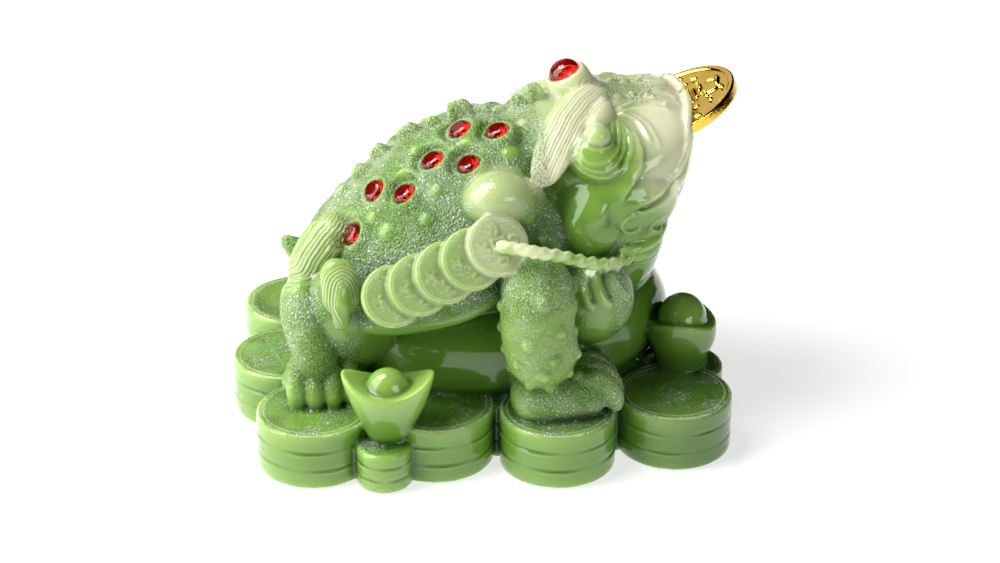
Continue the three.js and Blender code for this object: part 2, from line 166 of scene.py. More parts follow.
def pick(pieces: Sequence[Piece]) -> None:
    """Selects objects and no others.

    Args:
        pieces: the objects; the first one becomes the active one.
    """
    clear_selection()
    for piece in pieces:
        piece.select_set(True)
    bpy.context.view_layer.objects.active = pieces[0]


def finish_modifier(piece: Piece, kind: str, **values: object) -> None:
    """Adds a modifier and applies it.

    Args:
        piece: the object that gets it.
        kind: its type, in capitals.
        **values: its settings.
    """
    pick([piece])
    modifier = piece.modifiers.new(kind.title(), kind)
    for name, value in values.items():
        setattr(modifier, name, value)
    bpy.ops.object.modifier_apply(modifier=modifier.name)


def face_outwards(piece: Piece) -> None:
    """Merges doubles and turns faces outwards.

    Args:
        piece: the mesh object.
    """
    pick([piece])
    bpy.ops.object.mode_set(mode="EDIT")
    bpy.ops.mesh.select_all(action="SELECT")
    bpy.ops.mesh.remove_doubles(threshold=DOUBLES)
    bpy.ops.mesh.normals_make_consistent(inside=False)
    bpy.ops.object.mode_set(mode="OBJECT")


def to_frame(piece: Piece, name: str) -> None:
    """Brings a piece drawn in millimetres to the frame's metres.

    Args:
        piece: the finished piece.
        name: the name that it gets.
    """
    piece.data.transform(Matrix.Translation(drawing_shift()) @ Matrix.Scale(MM, 4))
    piece.name = name
    piece.data.name = name


@dataclass
class Clay:
    """Closed forms in millimetres, heaped up to become one skin."""

    lumps: list[Piece] = field(default_factory=list)
    drum_sides: int = 72

    def _add(self, lump: Piece) -> Piece:
        """Keeps a lump and turns its faces outwards.

        Args:
            lump: the lump.

        Returns:
            The same lump.
        """
        face_outwards(lump)
        self.lumps.append(lump)
        return lump

    def ball(self, at: Point, radii: Point, turn: Point = (0, 0, 0), around: int = 32) -> Piece:
        """An ellipsoid.

        Args:
            at: its centre.
            radii: half its size along its own axes.
            turn: turns about X, Y and Z in degrees, the last one made first.
            around: faces around it.

        Returns:
            The new lump.
        """
        clear_selection()
        bpy.ops.mesh.primitive_uv_sphere_add(segments=around, ring_count=around // 2, radius=1.0)
        lump = bpy.context.object
        x, y, z = (Matrix.Rotation(math.radians(a), 4, axis) for a, axis in zip(turn, "XYZ"))
        lump.data.transform(Matrix.Translation(Vector(at)) @ x @ y @ z @ Matrix.Diagonal((*radii, 1.0)))
        return self._add(lump)

    def sweep(
        self,
        stations: Sequence[Station],
        sideways: Point = (0, 1, 0),
        around: int = 28,
        rings: int = 28,
    ) -> Piece:
        """A body swept along a smooth line.

        Args:
            stations: rows of x, y, z, half width, height above the line, height below it. A row of x, y
                and z is a rounded end, and a row with one size is round.
            sideways: the direction of the width.
            around: faces around the body.
            rings: faces along it.

        Returns:
            The new lump.
        """
        clear_selection()
        bpy.ops.mesh.primitive_uv_sphere_add(segments=around, ring_count=rings, radius=1.0)
        lump = bpy.context.object
        ball = read_points(lump)
        even = np.arccos(np.clip(-ball[:, 2], -1, 1)) / np.pi
        t = 0.5 * even + 0.25 * (1 - np.cos(np.pi * even))
        rows = np.array([full_station(station) for station in stations], float)
        centre = smooth_line(rows[:, :3], t)
        size = np.sqrt(np.maximum(smooth_line(rows[:, 3:] ** 2, t), 0.0))
        size[(even < 1e-6) | (even > 1 - 1e-6)] = 0.0
        along = unit(smooth_line(rows[:, :3], t + 1e-3) - smooth_line(rows[:, :3], t - 1e-3))
        side = np.asarray(sideways, float) - along * (along @ np.asarray(sideways, float))[:, None]
        side = unit(side)
        up = np.cross(along, side)
        angle = np.arctan2(ball[:, 1], ball[:, 0])
        rise = np.where(np.sin(angle) > 0, size[:, 1], size[:, 2]) * np.sin(angle)
        write_points(lump, centre + side * (size[:, 0] * np.cos(angle))[:, None] + up * rise[:, None])
        return self._add(lump)

    def drum(self, at: Point, radius: float, height: float, normal: Point, bevel: float) -> Piece:
        """A disc with rounded edges.

        Args:
            at: its centre.
            radius: its radius.
            height: its thickness.
            normal: the way its axis points.
            bevel: the rounding of its edges.

        Returns:
            The new lump.
        """
        clear_selection()
        bpy.ops.mesh.primitive_cylinder_add(vertices=self.drum_sides, radius=radius, depth=height)
        lump = bpy.context.object
        finish_modifier(lump, "BEVEL", width=bevel, segments=3, limit_method="ANGLE")
        lump.data.transform(facing(at, normal))
        return self._add(lump)

    def slab(self, outline: Sequence[Point], height: float) -> Piece:
        """A prism on the table.

        Args:
            outline: its corners, in order.
            height: its height.

        Returns:
            The new lump.
        """
        clear_selection()
        bpy.ops.mesh.primitive_circle_add(vertices=len(outline), radius=1.0, fill_type="NGON")
        lump = bpy.context.object
        write_points(lump, np.array([[x, y, 0.0] for x, y in outline]))
        bpy.ops.object.mode_set(mode="EDIT")
        bpy.ops.mesh.select_all(action="SELECT")
        bpy.ops.mesh.extrude_region_move(TRANSFORM_OT_translate={"value": (0, 0, height)})
        bpy.ops.object.mode_set(mode="OBJECT")
        return self._add(lump)

    def skin(self, voxel: float, softening: int) -> Piece:
        """Joins the lumps into one closed skin.

        Args:
            voxel: its grid in millimetres.
            softening: rounds of smoothing.

        Returns:
            The skin.
        """
        pick(self.lumps)
        bpy.ops.object.join()
        whole = bpy.context.object
        finish_modifier(whole, "REMESH", mode="VOXEL", voxel_size=voxel, adaptivity=0.0)
        finish_modifier(whole, "SMOOTH", factor=0.5, iterations=softening)
        return whole


class Skin:
    """The surface of a piece while it is carved: where it lies, how it faces and how far it is moved."""

    seat_reach = 4.0
    seat_blend = 2.2
    band_reach = 6.5
    groove_half = 0.55

    def __init__(self, piece: Piece) -> None:
        """Reads the surface of a piece.

        Args:
            piece: the piece, in millimetres.
        """
        self.piece = piece
        self.masks: dict[str, np.ndarray] = {}
        self.held = np.zeros(len(piece.data.vertices))
        self.refresh()

    def refresh(self) -> None:
        """Reads the surface again, after what was carved so far."""
        mesh = self.piece.data
        self.points = read_points(self.piece)
        flat = np.empty(len(mesh.vertices) * 3, np.float32)
        mesh.vertex_normals.foreach_get("vector", flat)
        self.normals = flat.reshape(-1, 3).astype(float)
        self.lift = np.zeros(len(self.points))

    def apply(self) -> None:
        """Moves the surface by what was carved, except where it is held, and reads it again."""
        write_points(self.piece, self.points + self.normals * (self.lift * (1 - self.held))[:, None])
        self.refresh()

    def near(self, points: np.ndarray, reach: float) -> np.ndarray:
        """Indices of the vertices in the box around points, grown by a reach."""
        low, high = points.min(0) - reach, points.max(0) + reach
        return np.nonzero(((self.points > low) & (self.points < high)).all(1))[0]

    def settled(self, line: Sequence[Point], steps: int, slack: float = 5.0) -> np.ndarray:
        """The smooth curve through points, laid on the surface nearest to it.

        Args:
            line: points close to the surface.
            steps: straight pieces that the curve is taken as.
            slack: how far from a point the surface is looked for.

        Returns:
            Points of the curve.
        """
        curve = smooth_line(line, np.linspace(0, 1, steps + 1))
        index = self.near(curve, slack)
        if not len(index):
            return curve
        for i, place in enumerate(curve):
            close = index[np.abs(self.points[index] - place).max(1) < slack]
            if len(close):
                curve[i] = self.points[close[((self.points[close] - place) ** 2).sum(1).argmin()]]
        for _ in range(3):
            curve[1:-1] = 0.25 * curve[:-2] + 0.5 * curve[1:-1] + 0.25 * curve[2:]
        return curve

    def along(self, line: Sequence[Point], reach: float, steps: int = 40) -> tuple[np.ndarray, ...]:
        """How vertices lie to a smooth line on the surface.

        Args:
            line: points of the line, within a few millimetres of the surface.
            reach: how far from it a vertex still counts.
            steps: straight pieces that it is taken as.

        Returns:
            Indices, distance from the line, sideways place on the surface, place along it from 0 to 1.
        """
        curve = self.settled(line, steps)
        index = self.near(curve, reach)
        p = self.points[index]
        best = np.full(len(index), 1e9)
        place = np.zeros(len(index))
        foot = np.zeros_like(p)
        tangent = np.zeros_like(p)
        lengths = np.linalg.norm(np.diff(curve, axis=0), axis=1)
        start = np.concatenate([[0], np.cumsum(lengths)])
        for a, b, s, length in zip(curve[:-1], curve[1:], start, lengths):
            way = (b - a) / max(length, TINY)
            t = np.clip((p - a) @ way, 0, length)
            f = a + t[:, None] * way
            d = np.linalg.norm(p - f, axis=1)
            closer = d < best
            best[closer] = d[closer]
            place[closer] = (s + t[closer]) / start[-1]
            foot[closer] = f[closer]
            tangent[closer] = way
        inside = best < reach
        index, best, place = index[inside], best[inside], place[inside]
        across = unit(np.cross(tangent[inside], self.normals[index]))
        sideways = ((p[inside] - foot[inside]) * across).sum(1)
        return index, best, sideways, place

    def ledge(self, line: Sequence[Point], width: float, height: float, steps: int = 40) -> None:
        """A step: the surface right of a line, seen from outside, rises to the line and drops.

        Args:
            line: where the step is.
            width: how far from the line the rise begins.
            height: how high it gets.
            steps: straight pieces that the line is taken as.
        """
        index, _, sideways, place = self.along(line, width, steps)
        fade = step(place, 0.0, 0.15) * (1 - step(place, 0.85, 1.0))
        rise = np.where(sideways > -0.3, 1 - step(sideways, -0.3, width), 0.0) * step(sideways, -0.45, 0.0)
        self.lift[index] += height * fade * rise

    def pocket(self, at: Point, out: Point, profile: Profile, radius: float) -> None:
        """Shapes a round seat and holds it against later carving.

        Args:
            at: the middle of its plane.
            out: the way its axis points.
            profile: gives heights over the plane for distances from the axis.
            radius: how far it reaches.
        """
        axis = np.asarray(out, float)
        axis = axis / np.linalg.norm(axis)
        index = self.near(np.asarray(at, float)[None], radius + self.seat_reach)
        offset = self.points[index] - np.asarray(at)
        height = offset @ axis
        r = np.linalg.norm(offset - height[:, None] * axis, axis=1)
        inside = (r < radius) & (np.abs(height) < self.seat_reach)
        index, height, r = index[inside], height[inside], r[inside]
        share = 1 - step(r, radius - self.seat_blend, radius)
        self.points[index] += axis * (share * (profile(r) - height))[:, None]
        self.held[index] = np.maximum(self.held[index], share)
        write_points(self.piece, self.points)

    def stroke(self, line: Sequence[Point], width: float, height: float, steps: int = 40) -> None:
        """A ridge along a line, or a groove where its height is negative, fading at its ends.

        Args:
            line: where it runs.
            width: half its width.
            height: how high it is.
            steps: straight pieces that the line is taken as.
        """
        index, distance, _, place = self.along(line, width, steps)
        fade = step(place, 0.0, 0.12) * (1 - step(place, 0.88, 1.0))
        self.lift[index] += height * fade * (0.5 + 0.5 * np.cos(np.pi * distance / width))

    def grooves(
        self,
        line: Sequence[Point],
        shifts: Sequence[float],
        depth: float,
        fade: Sequence[float],
        spread: Point,
    ) -> None:
        """Cuts grooves side by side along a band.

        Args:
            line: the middle of the band.
            shifts: how far sideways each groove lies.
            depth: how deep they are.
            fade: places along the band where they start, are full, begin to fade and end.
            spread: what the shifts are multiplied by at most, how fast that falls, and from which place.
        """
        index, _, sideways, place = self.along(line, self.band_reach)
        full = step(place, *fade[:2]) * (1 - step(place, *fade[2:]))
        most, fall, widest = spread
        wide = most - fall * np.abs(place - widest)
        for shift in shifts:
            away = (sideways - shift * wide) / self.groove_half
            self.lift[index] -= depth * full * np.exp(-(away**2))

    def beads(self, places: Sequence[Station], wide: float, high: float) -> None:
        """Raises low soft domes on both sides.

        Args:
            places: rows of x, y, z and size, drawn for the right side.
            wide: a dome's radius for a size of 1.
            high: its height for a size of 1.
        """
        for side in Side:
            for x, y, z, size in mirrored(places, side):
                centre = self.settled([(x, y, z), (x + 0.1, y, z)], 1)[:1]
                index = self.near(centre, size * wide)
                d = np.minimum(np.linalg.norm(self.points[index] - centre, axis=1) / (size * wide), 1.0)
                self.lift[index] += size * high * (0.5 + 0.5 * np.cos(np.pi * d**1.25))

    def hairs(self, line: Sequence[Point], half_width: float, spacing: float, strength: float = 1.0) -> None:
        """Marks a band of fine grooves that run along a line, for the finish to draw.

        Args:
            line: the middle of the band.
            half_width: half its width in millimetres.
            spacing: millimetres from groove to groove.
            strength: how deep they are, up to 1.
        """
        index, _, sideways, _ = self.along(line, half_width * 1.25)
        inside = strength * (1 - step(np.abs(sideways), half_width * 0.85, half_width * 1.15))
        fine, across = self.mask("fine"), self.mask("across")
        stronger = inside > fine[index]
        across[index[stronger]] = sideways[stronger] / spacing
        fine[index[stronger]] = inside[stronger]

    def mask(self, name: str) -> np.ndarray:
        """A named value of every vertex, 0 at first."""
        return self.masks.setdefault(name, np.zeros(len(self.points)))

    def paint_ball(self, name: str, at: Point, radii: Point, value: float = 1.0, soft: float = 0.5) -> None:
        """Paints a mask inside an ellipsoid, fading over its outer part.

        Args:
            name: the mask.
            at: the ellipsoid's centre.
            radii: half its size along X, Y and Z.
            value: the mask's value in its middle.
            soft: how much of it fades, from 0 to 1.
        """
        d = np.linalg.norm((self.points - np.asarray(at)) / np.asarray(radii), axis=1)
        target = self.mask(name)
        np.maximum(target, value * (1 - step(d, 1 - soft, 1 + soft)), out=target)

    def paint(self, spots: Sequence[Spot], both: bool = False) -> None:
        """Paints ellipsoids.

        Args:
            spots: rows of mask, centre, radii, value and softness.
            both: whether each is painted on both sides, from its drawing for the right one.
        """
        for side in Side if both else (Side.RIGHT,):
            for name, at, radii, value, soft in spots:
                self.paint_ball(name, mirrored([at], side)[0], radii, value, soft)

    def paint_line(self, name: str, line: Sequence[Point], width: float, value: float = 1.0) -> None:
        """Paints a mask along a line.

        Args:
            name: the mask.
            line: the line.
            width: how far from it the mask reaches.
            value: the mask's value on it.
        """
        index, distance, _, _ = self.along(line, width)
        target = self.mask(name)
        target[index] = np.maximum(target[index], value * (1 - step(distance, width * 0.4, width)))

    def hollowness(self, rounds: int) -> np.ndarray:
        """How hollow the surface is.

        Args:
            rounds: rounds of smoothing that it is compared with.

        Returns:
            A value for each vertex, from -1 on sharp edges to 1 in deep creases.
        """
        mesh = self.piece.data
        edges = np.empty(len(mesh.edges) * 2, np.int64)
        mesh.edges.foreach_get("vertices", edges)
        a, b = edges.reshape(-1, 2).T
        count = np.bincount(a, minlength=len(self.points)) + np.bincount(b, minlength=len(self.points))
        smooth = self.points.copy()
        for _ in range(rounds):
            total = np.empty_like(smooth)
            for axis in range(3):
                column = smooth[:, axis]
                total[:, axis] = np.bincount(a, column[b], len(smooth))
                total[:, axis] += np.bincount(b, column[a], len(smooth))
            smooth = 0.4 * smooth + 0.6 * total / count[:, None]
        depth = ((smooth - self.points) * self.normals).sum(1)
        return np.clip(depth / (0.06 * math.sqrt(rounds)), -1, 1)

    def fullness(self, reach: float, cell: float) -> np.ndarray:
        """How full of solid the space round each vertex is.

        Args:
            reach: size of the space, in millimetres.
            cell: grid that it is worked out on.

        Returns:
            A value for each vertex: 0.5 on a level face, less on what is thin or proud.
        """
        low = self.points.min(0) - 5 * reach
        size = np.ceil((self.points.max(0) + 5 * reach - low) / cell).astype(int)
        place = (self.points - low) / cell
        corner = np.floor(place).astype(int)
        part = place - corner
        weight = 1 / np.abs(self.normals).sum(1)
        weight *= self.area / weight.sum()
        waves = np.meshgrid(*(2 * np.pi * np.fft.fftfreq(n, cell) for n in size), indexing="ij")
        square = sum(w**2 for w in waves)
        square[0, 0, 0] = 1.0
        total = np.zeros(size, complex)
        nearest = np.ravel_multi_index(np.round(place).astype(int).T, size)
        for axis, wave in enumerate(waves):
            flow = np.bincount(nearest, weight * self.normals[:, axis], size.prod()).reshape(size) / cell**3
            total += 1j * wave * np.fft.fftn(flow)
        solid = np.fft.ifftn(total / square * np.exp(-0.5 * square * reach**2)).real
        solid -= solid[0, 0, 0]
        value = np.zeros(len(self.points))
        for x, y, z in np.ndindex(2, 2, 2):
            share = np.abs(1 - x - part[:, 0]) * np.abs(1 - y - part[:, 1]) * np.abs(1 - z - part[:, 2])
            value += share * solid[corner[:, 0] + x, corner[:, 1] + y, corner[:, 2] + z]
        return value

    @property
    def area(self) -> float:
        """The whole surface.

        Returns:
            Its area in square millimetres.
        """
        areas = np.empty(len(self.piece.data.polygons), np.float32)
        self.piece.data.polygons.foreach_get("area", areas)
        return float(areas.sum())

    def store(self) -> None:
        """Keeps the masks as attributes of the mesh."""
        for name, values in self.masks.items():
            attribute = self.piece.data.attributes.new(name, "FLOAT", "POINT")
            attribute.data.foreach_set("value", values.astype(np.float32))


# Curved strokes on a coin's face, in shares of a mark's size. They are carving and spell nothing.
MARKS: tuple = (
    (
        ((-0.8, 0.6), (0, 0.9), (0.8, 0.5)),
        ((-0.6, -0.8), (-0.2, 0), (-0.7, 0.4)),
        ((0.1, -0.9), (0.5, -0.1)),
    ),
    (
        ((-0.9, -0.4), (-0.3, 0.2), (-0.8, 0.8)),
        ((0.1, 0.9), (0.5, 0.2), (0.2, -0.6)),
        ((-0.1, -0.9), (0.8, -0.8)),
    ),
    (
        ((-0.7, 0.8), (-0.1, 0.3), (0.7, 0.7)),
        ((-0.8, -0.1), (0.1, -0.3)),
        ((0.3, 0.1), (0.8, -0.4), (0.2, -0.9)),
    ),
    (
        ((-0.9, 0.1), (-0.4, 0.8), (0.3, 0.6)),
        ((0.6, 0.9), (0.8, 0), (0.3, -0.7)),
        ((-0.7, -0.8), (0, -0.5)),
    ),
)


@dataclass
class CoinFace:
    """The struck face of a coin: rims that the finish draws, a square hole's frame and plain strokes."""

    radius: float
    frame: float = 0.2
    marks_at: float = 0.52
    mark_size: float = 0.17
    stroke_width: float = 0.55
    relief: float = 0.4
    turn: float = 0.0
    frame_width: float = 0.45
    sunk: float = 0.12
    curve_steps: int = 14

    def carve(
        self,
        skin: Skin,
        at: Point,
        out: Point,
        reach: float = 0.9,
        marked: bool = True,
        under: Optional[Point] = None,
    ) -> None:
        """Carves the face.

        Args:
            skin: the surface that holds it.
            at: its centre, on the surface.
            out: the way it looks.
            reach: how far from its plane a vertex still belongs to it.
            marked: whether it has marks.
            under: the centre of a coin of its size that lies on it.
        """
        place = facing(at, out) @ Matrix.Rotation(math.radians(self.turn), 4, "Z")
        index = skin.near(np.asarray(at, float)[None], self.radius + 1)
        local = (skin.points[index] - np.asarray(at)) @ np.array(place.to_3x3())
        x, y, z = local.T
        r = np.hypot(x, y)
        looks = skin.normals[index] @ np.array(Vector(out).normalized())
        on = (1 - step(np.abs(z), reach * 0.7, reach)) * step(looks, 0.3, 0.7)
        on *= 1 - step(r, self.radius * 1.02, self.radius * 1.04)
        if under is not None:
            lid = np.linalg.norm(skin.points[index] - np.asarray(under), axis=1)
            on *= step(lid, self.radius + 0.6, self.radius + 1.8)
        struck, ring = skin.mask("struck"), skin.mask("ring")
        closer = index[on > struck[index]]
        ring[closer] = r[on > struck[index]] / self.radius
        struck[closer] = on[on > struck[index]]
        inner = on * (1 - step(r, self.radius * 0.8, self.radius * 0.84))
        square = np.abs(np.maximum(np.abs(x), np.abs(y)) - self.frame * self.radius)
        lift = self.relief * np.exp(-((square / self.frame_width) ** 2)) - self.sunk
        for quarter, mark in enumerate(MARKS if marked else ()):
            angle = math.radians(90 * quarter)
            centre = np.array([math.cos(angle), math.sin(angle)]) * self.marks_at * self.radius
            for line in mark:
                curve = smooth_line(line, np.linspace(0, 1, self.curve_steps))
                curve = curve * self.mark_size * self.radius + centre
                d = np.hypot(x[:, None] - curve[:, 0], y[:, None] - curve[:, 1]).min(1)
                lift += self.relief * np.exp(-((d / self.stroke_width) ** 2) * 2)
        skin.lift[index] += lift * inner


@dataclass
class Base:
    """Stacks of three coins round the edge, filled between, with the two small stacks of the ingots."""

    coin_radius: float = 16.3
    coin_thickness: float = 5.5
    coins: int = 3
    edge: float = 0.9
    fill_drop: float = 0.6
    small_radius: float = 7.6
    small_thickness: float = 3.9
    bowl_radius: float = 12.0
    groove: float = 0.5
    groove_width: float = 0.42
    slack: float = 0.15
    right: tuple = ((-3.15, -2.06), (-1.1, -2.17), (0.92, -2.63), (2.99, -2.32))
    bowl: tuple = (3.31, -1.32)
    front: tuple = ((2.76, 0.55), (2.58, 2.36))
    left: tuple = ((0.67, 2.61), (-1.26, 2.24), (-3.15, 2.06), (-3.45, 0.0))
    small: tuple = (-2.06, -2.92)

    @property
    def height(self) -> float:
        """Height of the base's top over the table."""
        return self.coin_thickness * self.coins

    @property
    def small_height(self) -> float:
        """Height of the small stack."""
        return self.small_thickness * self.coins

    def centre(self, place: Point) -> tuple[float, float]:
        """A centre given in coin radii, in millimetres."""
        return place[0] * self.coin_radius, place[1] * self.coin_radius

    def stacks(self) -> list[tuple[float, float, float, float]]:
        """The stacks of coins.

        Returns:
            Rows of x, y, radius and coin thickness.
        """
        radius = self.coin_radius - self.slack
        round_edge = (*self.right, *self.front, *self.left)
        large = [(*self.centre(p), radius, self.coin_thickness) for p in round_edge]
        bowl = (*self.centre(self.bowl), self.bowl_radius, self.coin_thickness)
        return [*large, bowl, (*self.centre(self.small), self.small_radius, self.small_thickness)]

    def build(self, clay: Clay) -> None:
        """Adds the base.

        Args:
            clay: what it is added to.
        """
        ring = [*self.right, self.bowl, *self.front, *self.left]
        clay.slab([self.centre(p) for p in ring], self.height - self.fill_drop)
        for x, y, radius, thickness in self.stacks():
            high = self.coins * thickness
            clay.drum((x, y, high / 2), radius, high, (0, 0, 1), self.edge)

    def carve(self, skin: Skin) -> None:
        """Carves the grooves between the coins, and the rim and square hole of each top coin.

        Args:
            skin: the casting's surface.
        """
        x, y, z = skin.points.T
        upright = 1 - step(np.abs(skin.normals[:, 2]), 0.6, 0.85)
        stacks = self.stacks()
        apart = np.array([np.hypot(x - s[0], y - s[1]) - s[2] for s in stacks])
        nearest = apart.argmin(0)
        for i, (cx, cy, radius, thickness) in enumerate(stacks):
            own = nearest == i
            r = np.hypot(x - cx, y - cy)
            wall = own * upright * step(r, radius - 1.8, radius - 1.0)
            wall = wall * (1 - step(r, radius + 0.6, radius + 1.0))
            for joint in range(1, self.coins):
                worn = 0.7 + 0.3 * np.sin(5 * np.arctan2(y - cy, x - cx) + i + 2 * joint)
                away = z - joint * thickness
                swell = 0.35 * step(away, -1.6, -0.5) * (1 - step(away, -0.5, 0.0))
                skin.lift += self.groove * wall * worn * swell
                skin.lift -= self.groove * wall * worn * np.exp(-((away / self.groove_width) ** 2))
            if radius > self.bowl_radius:
                turn = 17.0 * (i % 4)
                face = CoinFace(radius, frame=0.24, relief=0.22, turn=turn)
                face.carve(skin, (cx, cy, self.height), (0, 0, 1), 0.7, marked=i % 2 == 1)
        skin.apply()

    def dress(self, skin: Skin) -> None:
        """Marks the rough patches on the top coins.

        Args:
            skin: the casting's surface.
        """
        x, y, z = skin.points.T
        level = step(skin.normals[:, 2], 0.5, 0.8) * (z > self.small_height - 1) * (z < self.height + 0.5)
        patches = 0.5 + 0.5 * np.sin(0.33 * x + 1.0) * np.sin(0.37 * y + 0.6)
        grain = skin.mask("grain")
        np.maximum(grain, level * step(patches, 0.35, 0.7) * 0.8, out=grain)


@dataclass
class Ingot:
    """A boat-shaped ingot with raised ends and a ball in its middle."""

    centre: tuple[float, float]
    stands: float
    span: float
    height: float
    horn: float
    ball: float
    turn: float
    ball_rise: float = 0.88
    breadth: float = 0.66
    waist: float = 0.52

    def build(self, clay: Clay) -> None:
        """Adds the ingot.

        Args:
            clay: what it is added to.
        """
        half, h = self.span / 2, self.height
        x, y = self.centre
        profile = [
            (0, 0, -0.4, 0), (0, 0, -0.2, half * self.waist),
            (0, 0, h * 0.3, half * (0.26 + 0.8 * self.waist)),
            (0, 0, h * 0.6, half * (0.56 + 0.6 * self.waist)), (0, 0, h * 0.92, half * 1.0),
            (0, 0, h, half * 0.93), (0, 0, h * 0.97, half * 0.6), (0, 0, h * 0.88, 0),
        ]
        boat = clay.sweep(profile, sideways=(1, 0, 0), around=40, rings=40)
        points = read_points(boat)
        share = np.abs(points[:, 0]) / half
        points[:, 1] *= self.breadth
        points[:, 2] += self.horn * share**2.2 * np.maximum(0, points[:, 2] / h - 0.2) * 1.25
        write_points(boat, points)
        turn = Matrix.Rotation(math.radians(self.turn), 4, "Z")
        boat.data.transform(Matrix.Translation((x, y, self.stands)) @ turn)
        middle = (x, y, self.stands + h * self.ball_rise)
        clay.ball(middle, (self.ball, self.ball * 0.9, self.ball), (0, 0, self.turn))


